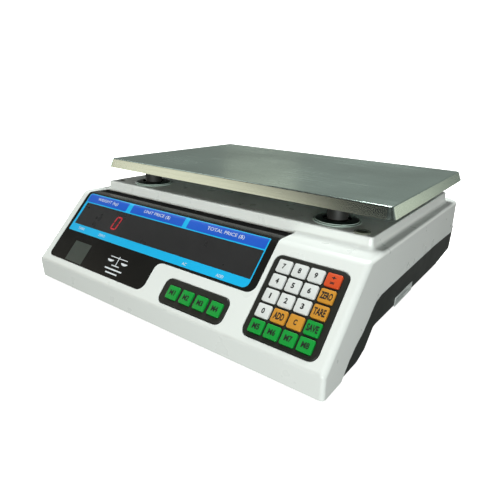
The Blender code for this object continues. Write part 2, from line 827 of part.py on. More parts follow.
def make_platter():
    """The folded sheet pan, open underneath."""
    inner = [(inset + PLATTER_SHEET, height) for inset, height in PLATTER_FOLD]
    inner[-2] = (inner[-2][0], inner[-2][1] - PLATTER_SHEET / 2)
    inner[-1] = (PLATTER_FOLD[-1][0] + PLATTER_SHEET / 2, -PLATTER_SHEET)
    layers = [(platter_outline(inset), height) for inset, height in (*reversed(inner), *PLATTER_FOLD)]
    bm = bmesh.new()
    add_stack(bm, layers)
    finish(bm, "platter", steel(), None, (0.0, PLATTER_CENTRE_Y, PLATTER_TOP))


def make_platter_frame():
    """The four-armed frame on the load cell, with a post at each corner."""
    x, back = POSTS[-1]
    inner, outer = x - FRAME_ARM, x + FRAME_ARM
    low, high = POSTS[0][1] - FRAME_ARM, back + FRAME_ARM
    right = [
        (inner, CELL_Y - FRAME_BEAM),
        (inner, low),
        (outer, low),
        (outer, high),
        (inner, high),
        (inner, CELL_Y + FRAME_BEAM),
    ]
    left = [(-u, v) for u, v in reversed(right)]
    bm = bmesh.new()
    add_prism(bm, [Vector(p) for p in (*right, *left)], FRAME_LOW, FRAME_HIGH)
    frame = finish(bm, "platter_frame", aluminium())
    bm = bmesh.new()
    profile = (
        (POST_RADIUS + POST_FILLET, (FRAME_LOW + FRAME_HIGH) / 2),
        (POST_RADIUS, FRAME_HIGH + POST_FILLET_TALL),
        (POST_RADIUS, POST_TOP),
    )
    for post in POSTS:
        add_turned(bm, profile, post)
    end = CELL_LONG / 2
    across = (CELL_Y - CELL_PAD_HALF, CELL_Y + CELL_PAD_HALF)
    add_box(bm, (end - CELL_PAD, end), across, (CELL_HIGH + CELL_TRAVEL, (FRAME_LOW + FRAME_HIGH) / 2))
    combine(frame, tool(bm, "frame_posts"), "UNION")


def make_supports():
    """The rubber cup on each post, which the platter rests on."""
    bore = POST_RADIUS + GAP
    low = COLLAR_TOP + CUP_LIFT
    top = PLATTER_TOP - PLATTER_SHEET - GAP
    profile = (
        (bore, POST_TOP + GAP),
        (bore, low),
        (CUP_DISC, low),
        (CUP_DISC, low + CUP_DISC_TALL),
        (CUP_RADIUS, low + CUP_DISC_TALL + CUP_CHAMFER),
        (CUP_RADIUS, top - CUP_CHAMFER),
        (CUP_RADIUS - CUP_CHAMFER, top),
    )
    for name, (x, y) in zip(POST_NAMES, POSTS):
        bm = bmesh.new()
        add_turned(bm, profile)
        finish(bm, "platter_support_" + name, rubber(), None, (x, y, 0.0))


def make_load_cell():
    half = CELL_LONG / 2
    bm = bmesh.new()
    add_box(bm, (-half, half), (CELL_Y - CELL_WIDE / 2, CELL_Y + CELL_WIDE / 2), (CELL_LOW, CELL_HIGH))
    cell = finish(bm, "load_cell", aluminium())
    bm = bmesh.new()
    heights = (CELL_LOW + CELL_SKIN, CELL_HIGH - CELL_SKIN)
    slot = rectangle((-CELL_SLOT, CELL_SLOT), heights, CELL_SLOT_CORNER)
    add_prism(bm, slot, CELL_Y - FAR, CELL_Y + FAR, along_y)
    combine(cell, tool(bm, "cell_slot"), "DIFFERENCE")
    bm = bmesh.new()
    across = (CELL_Y - CELL_MOUNT_HALF, CELL_Y + CELL_MOUNT_HALF)
    floor = base_floor(across[0]) + BASE_WALL + GAP
    add_box(bm, (-half, -half + CELL_MOUNT_LONG), across, (floor, CELL_LOW - GAP))
    finish(bm, "load_cell_mount", steel())


# --- inside and underneath ----------------------------------------------------


def make_main_board():
    """The board with its chip, connector and heat sink, and two capacitors."""
    bm = bmesh.new()
    add_box(bm, BOARD_X, BOARD_Y, (BOARD_Z, BOARD_Z + BOARD_THICK))
    board = finish(bm, "main_board", board_green())
    bm = bmesh.new()
    seat = BOARD_Z + BOARD_THICK / 2
    chip = ((30.0, 52.0), (-50.0, -28.0), 3.0)
    connector = ((86.0, 94.0), (-58.0, -24.0), 9.0)
    heat_sink = ((58.0, 78.0), (-20.0, -12.0), 16.0)
    for x, y, tall in (chip, connector, heat_sink):
        add_box(bm, x, y, (seat, seat + tall))
    for x in (24.0, 38.0):
        add_turned(bm, ((5.0, seat), (5.0, seat + 14.0)), (x, -12.0), 10)
    combine(board, tool(bm, "board_parts"), "UNION")


def make_battery():
    bm = bmesh.new()
    add_box(bm, *BATTERY)
    battery = finish(bm, "battery", material("battery_case", (0.05, 0.05, 0.06), 0.5))
    bm = bmesh.new()
    x, top = BATTERY[0][0] + 10.0, BATTERY[2][1]
    for y in BATTERY_TABS_Y:
        add_box(bm, (x, x + 6.0), (y - 2.5, y + 2.5), (top - 1.0, top + 6.0))
    combine(battery, tool(bm, "battery_tabs"), "UNION")


def make_battery_cover():
    """A plate under the floor with a tongue that keys into the hatch."""
    front, back = BASE_LINE[4:6]
    lean = math.atan2(back[1] - front[1], back[0] - front[0])
    middle = (sum(HATCH_X) / 2, sum(HATCH_Y) / 2)
    wide = HATCH_X[1] - HATCH_X[0]
    deep = HATCH_Y[1] - HATCH_Y[0]
    u = wide / 2 - TONGUE_CLEARANCE
    v = (TONGUE_CLEARANCE - deep / 2, deep / 2 - TONGUE_SHORT)
    bm = bmesh.new()
    plate = centred(0.0, 0.0, wide + 2 * DOOR_LAP, deep + 2 * DOOR_LAP, DOOR_CORNER, 2)
    tongue = rectangle((-u, u), v, TONGUE_CLEARANCE, 2)
    add_stack(bm, ((plate, -DOOR_THICK - GAP), (plate, -GAP), (tongue, -GAP), (tongue, TONGUE_TALL)))
    centre = (*middle, base_floor(middle[1]))
    finish(bm, "battery_cover", black_plastic(), None, centre, (lean, 0.0, 0.0))


def make_transformer():
    bm = bmesh.new()
    add_box(bm, *TRANSFORMER_CORE)
    core = finish(bm, "transformer", steel())
    bm = bmesh.new()
    add_box(bm, *TRANSFORMER_COIL)
    combine(core, tool(bm, "coil"), "UNION")


def panel_part(name, y, flange, body, radius, deep):
    """A flanged part pushed through the pocket's wall: (wide, tall) of its flange and of its body."""
    back = POCKET_X - GAP
    plate = centred(y, POWER_Z, *flange, min(flange) / 7, 2)
    shell = centred(y, POWER_Z, *body, radius, 2)
    bm = bmesh.new()
    layers = ((plate, back - FLANGE_PLATE), (plate, back), (shell, back), (shell, POCKET_X + deep))
    add_stack(bm, layers, along_x)
    return finish(bm, name, black_plastic())


def make_power_entry():
    """The inlet and the rocker switch, in the pocket in the base's left side."""
    inlet = panel_part("power_inlet", INLET_Y, INLET_FLANGE, INLET_BODY, 3.0, 20.0)
    bm = bmesh.new()
    socket = centred(INLET_Y, POWER_Z, *INLET_SOCKET, 2.5, 2)
    add_prism(bm, socket, POCKET_X - FAR, POCKET_X + 16.0, along_x)
    combine(inlet, tool(bm, "inlet_socket"), "DIFFERENCE")
    bm = bmesh.new()
    for y, z in INLET_PINS:
        pin = centred(INLET_Y + y, POWER_Z + z, *INLET_PIN)
        add_prism(bm, pin, POCKET_X + 2.0, POCKET_X + 18.0, along_x)
    combine(inlet, tool(bm, "inlet_pins"), "UNION")

    holder = panel_part("switch_body", SWITCH_Y, SWITCH_FLANGE, SWITCH_BODY, 0.8, 18.0)
    bm = bmesh.new()
    add_prism(bm, centred(SWITCH_Y, POWER_Z, *SWITCH_WELL), POCKET_X - FAR, POCKET_X + 9.0, along_x)
    combine(holder, tool(bm, "rocker_well"), "DIFFERENCE")

    bm = bmesh.new()
    add_prism(bm, [Vector(p) for p in ROCKER_SIDE], -ROCKER_HALF, ROCKER_HALF)
    centre = (POCKET_X + 2 * GAP, SWITCH_Y, POWER_Z)
    rocker = finish(bm, "switch_rocker", black_plastic(), None, centre, (0.0, 0.0, ROCKER_TILT))
    bm = bmesh.new()
    radius, reach = ROCKER_PIVOT
    add_turned(bm, ((radius, -reach), (radius, reach)))
    combine(rocker, tool(bm, "rocker_pivot", rocker), "UNION")


def make_level():
    x, y = LEVEL
    profile = ((5.5, -6.0), (5.5, GAP), (7.0, GAP), (7.0, 1.2), (5.2, 1.8))
    bm = bmesh.new()
    add_turned(bm, profile)
    look = material("level_vial", (0.25, 0.4, 0.12), 0.15)
    finish(bm, "bubble_level", look, None, (x, y, DECK_Z))


def make_label():
    """The rating plate on the base's right side."""
    face = SIDE - BASE_INSET + GAP
    bm = bmesh.new()
    add_prism(bm, rectangle(LABEL_Y, LABEL_Z, 1.0, 1), face, face + LABEL_THICK, along_x)
    finish(bm, "rating_label", material("label", (0.6, 0.62, 0.62), 0.4, 0.5))


def make_screws():
    seat = GAP - SCREW_SEAT
    profile = ((1.6, -14.0), (1.6, seat), (3.6, seat), (3.6, seat + 1.2), (2.8, seat + 1.8))
    for name, x, y in DECK_SCREWS:
        bm = bmesh.new()
        add_turned(bm, profile, segments=12)
        finish(bm, "deck_screw_" + name, steel(), None, (x, y, DECK_Z))


def make_feet():
    profile = (
        (FOOT_RADIUS - 1.5, 0.0),
        (FOOT_RADIUS, 1.5),
        (FOOT_RADIUS, 7.0),
        (FOOT_RADIUS - 1.5, 9.0),
        (FOOT_RADIUS - 4.0, 9.0),
        (FOOT_RADIUS - 4.0, 12.0),
        (FOOT_STEM, 12.0),
        (FOOT_STEM, FOOT_TALL),
    )
    for name, (x, y) in zip(POST_NAMES, FEET):
        bm = bmesh.new()
        add_turned(bm, profile)
        finish(bm, "foot_" + name, rubber(), None, (x, y, 0.0))


def main():
    for obj in list(bpy.data.objects):
        bpy.data.objects.remove(obj)
    console = empty("console", (0.0, FRONT, LIP_TOP), (CONSOLE_ANGLE, 0.0, 0.0))
    lean = math.atan2(BACK_LEAN, SHOULDER_BACK - BACK_SPLIT)
    rear = empty("rear", (0.0, BACK, BACK_SPLIT), (math.pi / 2 - lean, 0.0, math.pi))
    make_cover(console, rear)
    make_base()
    make_lens()
    make_modules(console)
    make_pad("keypad_bezel", KEYPAD, KEYPAD_ROWS, console)
    make_pad("memory_bezel", MEMORY_PAD, MEMORY_ROWS, console)
    make_key_board(console)
    make_rear_display(rear)
    make_platter()
    make_platter_frame()
    make_supports()
    make_load_cell()
    make_main_board()
    make_battery()
    make_battery_cover()
    make_transformer()
    make_power_entry()
    make_level()
    make_label()
    make_screws()
    make_feet()


main()
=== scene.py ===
"""Looks of the price-computing counter scale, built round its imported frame.

Sizes are in millimetres and become metres as each mesh is made. +X is the
user's right, -Y is the front and +Z is up, with z = 0 under the feet.
"""

import math

import bmesh
import bpy
from mathutils import Matrix, Vector


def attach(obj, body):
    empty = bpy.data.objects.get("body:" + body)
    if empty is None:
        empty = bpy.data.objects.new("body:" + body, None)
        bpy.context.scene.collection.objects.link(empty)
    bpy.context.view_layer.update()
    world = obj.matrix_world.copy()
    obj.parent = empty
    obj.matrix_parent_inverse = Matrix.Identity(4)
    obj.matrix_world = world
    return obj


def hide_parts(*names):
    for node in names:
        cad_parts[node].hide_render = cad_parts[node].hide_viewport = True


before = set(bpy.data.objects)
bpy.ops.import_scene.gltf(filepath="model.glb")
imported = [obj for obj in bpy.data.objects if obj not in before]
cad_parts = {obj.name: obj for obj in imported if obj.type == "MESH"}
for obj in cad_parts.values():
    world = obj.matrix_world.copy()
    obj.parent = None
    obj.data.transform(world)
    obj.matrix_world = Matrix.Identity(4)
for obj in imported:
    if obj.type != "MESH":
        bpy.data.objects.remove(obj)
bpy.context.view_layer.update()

MM = 0.001
FAR = 60.0  # how far a cutter runs past what it cuts
GAP = 0.3

# --- driving dimensions, the same as the frame's ---

SIDE = 174.3
FRONT = -176.0
BACK = 176.0
WALL = 3.0
UNDERSIDE = 3.5
LIP_TOP = 24.6
LIP_LEAN = 1.5
SHOULDER_BACK = 86.5
BACK_LEAN = 3.5
BACK_SPLIT = 55.0
BACK_CORNER = 22.0
BASE_INSET = 1.5
BASE_WALL = 2.5
SEAM_GAP = 0.5
SEAM = (
    (-145.5, UNDERSIDE), (-134.9, 16.4), (-124.5, 24.5), (-113.0, 30.5),
    (-104.5, 37.5), (-97.5, 44.0), (-91.0, 49.0), (-80.0, 51.2),
    (75.5, 51.5), (155.5, 48.5), (168.0, 53.0), (BACK, BACK_SPLIT),
)
BASE_FRONT = FRONT + LIP_LEAN + WALL + 0.4
BASE_LINE = (
    (BASE_FRONT, 4.0), (-104.5, 4.0), (-97.9, 6.4), (-84.2, 20.3), (-77.5, 20.9),
    (111.5, 17.5), (141.5, 19.9), (165.0, 24.6), (BACK - BASE_INSET, 31.0),
)
BASE_WALL_START = -142.2
CONSOLE_ANGLE = math.radians(46.17)
CONSOLE_LENGTH = 89.5
BEND_Y = FRONT + CONSOLE_LENGTH * math.cos(CONSOLE_ANGLE)
BEND_Z = LIP_TOP + CONSOLE_LENGTH * math.sin(CONSOLE_ANGLE)
BEND_RADIUS = 10.0
BEND_REACH = BEND_RADIUS * math.tan(CONSOLE_ANGLE / 2)  # from the bend's middle to where its arc starts
BEND_START = CONSOLE_LENGTH - BEND_REACH
BEND_END = CONSOLE_LENGTH + BEND_REACH
BEND_STEPS = 6
BEND_LEVELS = tuple(BEND_START + (BEND_END - BEND_START) * i / BEND_STEPS for i in range(BEND_STEPS + 1))
DECK_X = 162.8
DECK_FRONT = -86.0
DECK_BACK = 144.5
DECK_Z = 98.0
DECK_CORNER = 3.0
DECK_ROUND = 1.2
DECK_COVE = 4.0  # radius of the hollow curve at the foot of the deck

# Display lens, in console coordinates: x, and s up the slope from the lip
LENS_LEFT = -163.0
LENS_RIGHT = 94.0
LENS_STEP_X = -14.5
LENS_LOW = 7.5
LENS_STEP = 38.7
LENS_END = CONSOLE_LENGTH + 12.2
LENS_GROOVE = 13.8  # how far its pocket runs on behind it, to the foot of the deck
LENS_THICK = 1.6
LENS_SUNK = 0.4

# Key pads
PAD_THICK = 2.0
PAD_PROUD = 0.3
PAD_CORNER = 6.5
PAD_ROUND = 0.6
KEY_TALL = 1.5
KEY_CORNER = 1.1
KEY_CROWN = 0.45  # radius round a key's top
FLANGE = 1.2
FLANGE_THICK = 1.6
KEYPAD = {
    "x": (99.0, 164.0), "s": (6.5, 77.0),
    "first": (110.4, 15.6), "pitch": (14.2, 13.0), "key": (12.0, 10.8),
}
KEYPAD_ROWS = (
    (("memory_5", "M5"), ("memory_6", "M6"), ("memory_7", "M7"), ("memory_8", "M8")),
    (("digit_0", "0"), ("add", "ADD"), ("clear", "C"), ("save", "SAVE")),
    (("digit_1", "1"), ("digit_2", "2"), ("digit_3", "3"), ("tare", "TARE")),
    (("digit_4", "4"), ("digit_5", "5"), ("digit_6", "6"), ("zero", "ZERO")),
    (("digit_7", "7"), ("digit_8", "8"), ("digit_9", "9"), ("accumulate", "+\n=")),
)
MEMORY_PAD = {
    "x": (7.5, 79.0), "s": (5.0, 28.4),
    "first": (21.3, 16.3), "pitch": (15.9, 0.0), "key": (12.0, 12.0),
}
MEMORY_ROWS = ((("memory_1", "M1"), ("memory_2", "M2"), ("memory_3", "M3"), ("memory_4", "M4")),)
AMBER_KEYS = ("add", "clear", "tare", "zero")

# Customer's display, in the back wall
REAR_HALF = 110.0
REAR_LOW = 5.0
REAR_HIGH = 27.0

# Platter and what carries it
PLATTER_X = 350.0
PLATTER_Y = 234.2
PLATTER_CENTRE_Y = 39.3
PLATTER_TOP = 122.5
PLATTER_LIP = 10.0
PLATTER_SHEET = 1.0
PLATTER_CORNER = 7.0
LIP_FLARE = math.radians(22.2)
FOLD_INSET = 5.28  # where the flat top starts
FOLD_RADIUS = 1.8
POSTS = tuple((x, y) for x in (-118.0, 118.0) for y in (-56.5, 125.0))
FEET = tuple((x, y) for x in (-127.0, 127.0) for y in (-63.5, 136.5))
CORNERS = ("front_left", "rear_left", "front_right", "rear_right")
DECK_SCREWS = (("front_left", -153.0, -75.0), ("rear_left", -153.0, 134.0), ("rear_right", 153.0, 134.0))
LEVEL = (150.0, -76.5)
POST_HOLE = 12.0
COLLAR_TOP = 100.5
CUP_SUNK = 4.5  # how far a cup reaches down into its post hole

# Battery hatch and power pocket
HATCH_X = (-96.0, -4.0)
HATCH_Y = (-62.0, -2.0)
POCKET_Y = (42.0, 116.0)
POCKET_Z = (23.5, 46.5)
POCKET_X = -168.5
INLET_Y = 96.0
SWITCH_Y = 60.0
POWER_Z = 35.0
ROCKER_TILT = math.radians(10.0)
LABEL_Y = (-36.5, 13.5)
LABEL_Z = (21.5, 31.0)


# --- outlines ---


def rounded(corners, steps=6):
    """The outline through corners (u, v, radius), each turned into an arc."""
    outline = []
    for i, (u, v, radius) in enumerate(corners):
        here = Vector((u, v))
        if not radius:
            outline.append(here)
            continue
        before = (Vector(corners[i - 1][:2]) - here).normalized()
        after = (Vector(corners[(i + 1) % len(corners)][:2]) - here).normalized()
        half = before.angle(after) / 2
        centre = here + (before + after).normalized() * radius / math.sin(half)
        reach = radius / math.tan(half)
        start = here + before * reach - centre
        end = here + after * reach - centre
        first = math.atan2(start.y, start.x)
        turn = (math.atan2(end.y, end.x) - first + math.pi) % (2 * math.pi) - math.pi
        for step in range(steps + 1):
            angle = first + turn * step / steps
            outline.append(centre + radius * Vector((math.cos(angle), math.sin(angle))))
    return outline


def rectangle(u, v, radius=0.0, steps=6):
    corners = ((u[0], v[0], radius), (u[1], v[0], radius), (u[1], v[1], radius), (u[0], v[1], radius))
    return rounded(corners, steps)


def centred(u, v, wide, tall, radius):
    return rectangle((u - wide / 2, u + wide / 2), (v - tall / 2, v + tall / 2), radius, 4)


def circle(radius, centre, segments=48):
    angles = (2 * math.pi * i / segments for i in range(segments))
    return [Vector((centre[0] + radius * math.cos(a), centre[1] + radius * math.sin(a))) for a in angles]


def offset(line, distance):
    """An open line moved to its left by distance, with mitred corners."""
    points = [Vector(p) for p in line]
    normals = []
    for a, b in zip(points, points[1:]):
        along = (b - a).normalized()
        normals.append(Vector((-along.y, along.x)))
    moved = []
    for i, point in enumerate(points):
        before = normals[max(i - 1, 0)]
        after = normals[min(i, len(normals) - 1)]
        moved.append(point + (before + after) * distance / (1 + before.dot(after)))
    return moved


def quarter(radius, top, steps=5):
    """(inset, height) pairs round the quarter circle from a side wall to a top face."""
    pairs = []
    for step in range(steps + 1):
        angle = math.pi / 2 * step / steps
        pairs.append((radius * (1 - math.cos(angle)), top - radius * (1 - math.sin(angle))))
    return pairs


def side_outline():
    """The cover from the side, carried down past its lower edge."""
    return [
        (FRONT + LIP_LEAN, -FAR),
        (FRONT + LIP_LEAN, UNDERSIDE),
        (FRONT, LIP_TOP),
        (BEND_Y, BEND_Z),
        (DECK_FRONT, BEND_Z),
        (BACK - BACK_LEAN, SHOULDER_BACK),
        (BACK, BACK_SPLIT),
        (BACK, -FAR),
    ]


def seam_outline(drop):
    """Everything under the cover's edge, lowered by drop, out past both ends."""
    line = [Vector((y, z - drop)) for y, z in SEAM]
    front = Vector((FRONT - FAR, UNDERSIDE - drop))
    back = Vector((BACK + FAR, BACK_SPLIT - drop))
    return [front, *line, back, Vector((BACK + FAR, -FAR)), Vector((FRONT - FAR, -FAR))]


def lens_outline(grow=0.0, beyond=0.0):
    """The lens on the unrolled console face, or its pocket when it runs beyond the lens."""
    left = LENS_LEFT - grow
    right = LENS_RIGHT + grow
    step = LENS_STEP_X + grow
    end = LENS_END + grow + beyond
    corners = (
        (left, LENS_LOW - grow, 5.0 + grow), (step, LENS_LOW - grow, 8.0 + grow),
        (step, LENS_STEP - grow, 8.0 - grow), (right, LENS_STEP - grow, 8.0 + grow),
        (right, end, 3.0), (left, end, 3.0),
    )
    return rounded(corners)


def pad_outline(pad, grow):
    u = (pad["x"][0] - grow, pad["x"][1] + grow)
    v = (pad["s"][0] - grow, pad["s"][1] + grow)
    return rectangle(u, v, PAD_CORNER + grow)


def rear_lens_outline(grow):
    x = (-REAR_HALF - grow, REAR_HALF + grow)
    return rectangle(x, (REAR_LOW - grow, REAR_HIGH + grow), 3.0 + max(grow, -2.0))


def deck_outline(inset):
    u = (-DECK_X + inset, DECK_X - inset)
    v = (DECK_FRONT + inset, DECK_BACK - inset)
    return rectangle(u, v, max(DECK_CORNER - inset, 0.8), 4)


# --- meshes ---


def along_x(u, v, w):
    return Vector((w, u, v))


def along_z(u, v, w):
    return Vector((u, v, w))


def console_point(x, s, h):
    """A point on the console face: s up the slope and on over the bend, h outwards."""
    if s <= BEND_START:
        y = FRONT + s * math.cos(CONSOLE_ANGLE) - h * math.sin(CONSOLE_ANGLE)
        z = LIP_TOP + s * math.sin(CONSOLE_ANGLE) + h * math.cos(CONSOLE_ANGLE)
        return Vector((x, y, z))
    if s >= BEND_END:
        return Vector((x, BEND_Y + s - CONSOLE_LENGTH, BEND_Z + h))
    lean = CONSOLE_ANGLE * (BEND_END - s) / (BEND_END - BEND_START)
    reach = BEND_RADIUS + h
    y = BEND_Y + BEND_REACH - reach * math.sin(lean)
    return Vector((x, y, BEND_Z - BEND_RADIUS + reach * math.cos(lean)))


def rear_point(u, v, h):
    """A point on the back wall as its user sees it: u to the right, v up, h outwards."""
    lean = math.atan2(BACK_LEAN, SHOULDER_BACK - BACK_SPLIT)
    y = BACK - v * math.sin(lean) + h * math.cos(lean)
    z = BACK_SPLIT + v * math.cos(lean) + h * math.sin(lean)
    return Vector((-u, y, z))


def join_loops(bm, loops):
    for low, high in zip(loops, loops[1:]):
        for i in range(len(low)):
            j = (i + 1) % len(low)
            bm.faces.new((low[i], low[j], high[j], high[i]))


def add_rings(bm, rings):
    """A closed solid through rings of equal length, capped at both ends."""
    loops = [[bm.verts.new(p) for p in ring] for ring in rings]
    join_loops(bm, loops)
    bm.faces.new(list(reversed(loops[0])))
    bm.faces.new(loops[-1])


def add_stack(bm, layers, place=along_z):
    """A solid through layers of (outline, height)."""
    add_rings(bm, [[place(u, v, w) for u, v in outline] for outline, w in layers])


def add_prism(bm, outline, low, high, place=along_z):
    add_stack(bm, ((outline, low), (outline, high)), place)


def add_box(bm, x, y, z):
    add_prism(bm, rectangle(x, y), z[0], z[1])


def add_turned(bm, profile, centre, segments=48):
    """A solid of revolution through (radius, height) pairs, capped at both ends."""
    add_stack(bm, [(circle(radius, centre, segments), height) for radius, height in profile])


def add_bent_stack(bm, layers):
    """A solid through (outline, height) layers, cut at the bend's levels and folded over it."""
    add_stack(bm, layers)
    for level in BEND_LEVELS:
        geometry = [*bm.verts, *bm.edges, *bm.faces]
        plane = {"plane_co": (0.0, level, 0.0), "plane_no": (0.0, 1.0, 0.0)}
        bmesh.ops.bisect_plane(bm, geom=geometry, dist=0.0001, **plane)
    for vert in bm.verts:
        vert.co = console_point(*vert.co)


def linked(name, data):
    obj = bpy.data.objects.new(name, data)
    bpy.context.collection.objects.link(obj)
    return obj


def finish(bm, name, look, crease=35.0):
    """The named object for a mesh."""
    bmesh.ops.recalc_face_normals(bm, faces=bm.faces)
    bm.transform(Matrix.Scale(MM, 4))
    mesh = bpy.data.meshes.new(name)
    bm.to_mesh(mesh)
    bm.free()
    if look:
        mesh.materials.append(look)
    mesh.shade_smooth()
    mesh.set_sharp_from_angle(angle=math.radians(crease))
    return linked(name, mesh)


def apply_modifiers(obj):
    """Makes what the modifiers give the object's own mesh."""
    bpy.context.view_layer.update()
    graph = bpy.context.evaluated_depsgraph_get()
    mesh = bpy.data.meshes.new_from_object(obj.evaluated_get(graph))
    obj.modifiers.clear()
    obj.data = mesh


def combine(obj, bm, operation):
    """A Boolean of obj with a mesh, done at once."""
    other = finish(bm, "tool", None)
    modifier = obj.modifiers.new("boolean", "BOOLEAN")
    modifier.solver = "EXACT"
    modifier.operation = operation
    modifier.object = other
    apply_modifiers(obj)
    bpy.data.objects.remove(other)


def cut(obj, bm):
    combine(obj, bm, "DIFFERENCE")


def even_shading(obj, crease=35.0):
    """Smooth curved parts next to flat ones that stay flat."""
    obj.data.shade_smooth()
    obj.data.set_sharp_from_angle(angle=math.radians(crease))
    modifier = obj.modifiers.new("weighted_normal", "WEIGHTED_NORMAL")
    modifier.keep_sharp = True
    return obj


def settle(piece, body, slot, *nodes):
    """Fixes a piece to its body and hides the nodes it stands for; slot is not used."""
    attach(piece, body)
    if nodes:
        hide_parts(*nodes)


def add_piece(bm, name, look, body, slot, *nodes):
    settle(finish(bm, name, LOOKS[look]), body, slot, *nodes)


# --- materials ---


def nodes_of(name):
    made = bpy.data.materials.new(name)
    made.use_nodes = True
    tree = made.node_tree
    return made, tree, tree.nodes["Principled BSDF"]


def fill(node, values):
    for socket, value in values.items():
        node.inputs[socket].default_value = value


def noise(tree, scale, detail=3.0, stretch=(1.0, 1.0, 1.0)):
    """Noise in the object's own coordinates; scale is per metre."""
    place = tree.nodes.new("ShaderNodeTexCoord")
    mapping = tree.nodes.new("ShaderNodeMapping")
    mapping.inputs["Scale"].default_value = stretch
    made = tree.nodes.new("ShaderNodeTexNoise")
    fill(made, {"Scale": scale, "Detail": detail})
    tree.links.new(place.outputs["Object"], mapping.inputs["Vector"])
    tree.links.new(mapping.outputs["Vector"], made.inputs["Vector"])
    return made.outputs["Fac"]


def ranged(tree, value, low, high, start=0.3, end=0.7):
    """Low to high as value runs from start to end."""
    made = tree.nodes.new("ShaderNodeMapRange")
    fill(made, {"From Min": start, "From Max": end, "To Min": low, "To Max": high})
    tree.links.new(value, made.inputs["Value"])
    return made.outputs["Result"]


def shaded(tree, value, colour, spread):
    """The colour, made darker and lighter by spread as value runs from 0 to 1."""
    ramp = tree.nodes.new("ShaderNodeValToRGB")
    ramp.color_ramp.elements[0].position = 0.3
    ramp.color_ramp.elements[1].position = 0.7
    ramp.color_ramp.elements[0].color = (*(c * (1 - spread) for c in colour), 1.0)
    ramp.color_ramp.elements[1].color = (*(min(c * (1 + spread), 1.0) for c in colour), 1.0)
    tree.links.new(value, ramp.inputs["Fac"])
    return ramp.outputs["Color"]


def bumped(tree, shader, value, distance, strength=1.0):
    bump = tree.nodes.new("ShaderNodeBump")
    fill(bump, {"Distance": distance, "Strength": strength})
    tree.links.new(value, bump.inputs["Height"])
    tree.links.new(bump.outputs["Normal"], shader.inputs["Normal"])


def plastic(name, colour, roughness, grain=500.0, depth=0.000004, spread=0.03, specular=0.5):
    """Moulded plastic: a fine spark-eroded grain, with cloudy tone and gloss."""
    made, tree, shader = nodes_of(name)
    cloud = noise(tree, 14.0)
    tree.links.new(shaded(tree, cloud, colour, spread), shader.inputs["Base Color"])
    gloss = ranged(tree, noise(tree, 45.0), roughness * 0.88, roughness * 1.14)
    tree.links.new(gloss, shader.inputs["Roughness"])
    bumped(tree, shader, noise(tree, grain, 2.0), depth, 0.5)
    shader.inputs["Specular IOR Level"].default_value = specular
    return made


def brushed(name, colour, edge, roughness, stretch=(8.0, 900.0, 900.0)):
    """Brushed sheet: fine lines along X, broad smudges, and a darker edge tint."""
    made, tree, shader = nodes_of(name)
    shader.inputs["Metallic"].default_value = 1.0
    lines = noise(tree, 1.0, 4.0, stretch)
    smudge = noise(tree, 9.0, 4.0)
    tree.links.new(shaded(tree, smudge, colour, 0.05), shader.inputs["Base Color"])
    mix = tree.nodes.new("ShaderNodeMath")
    mix.operation = "ADD"
    tree.links.new(ranged(tree, lines, roughness * 0.8, roughness * 1.1), mix.inputs[0])
    tree.links.new(ranged(tree, smudge, -0.02, 0.04), mix.inputs[1])
    tree.links.new(mix.outputs[0], shader.inputs["Roughness"])
    bumped(tree, shader, lines, 0.00001, 0.35)
    shader.inputs["Specular Tint"].default_value = (*edge, 1.0)
    return made


def glowing(name, colour, strength):
    made, tree, shader = nodes_of(name)
    for socket in ("Base Color", "Emission Color"):
        tree.links.new(shaded(tree, noise(tree, 400.0), colour, 0.15), shader.inputs[socket])
    fill(shader, {"Emission Strength": strength, "Roughness": 0.4})
    return made


def board_look(name):
    """Solder mask with a hint of the copper tracks under it."""
    made, tree, shader = nodes_of(name)
    tracks = noise(tree, 1.0, 1.0, (120.0, 420.0, 420.0))
    tree.links.new(shaded(tree, tracks, (0.02, 0.14, 0.05), 0.35), shader.inputs["Base Color"])
    tree.links.new(ranged(tree, tracks, 0.3, 0.5), shader.inputs["Roughness"])
    bumped(tree, shader, tracks, 0.00003)
    return made


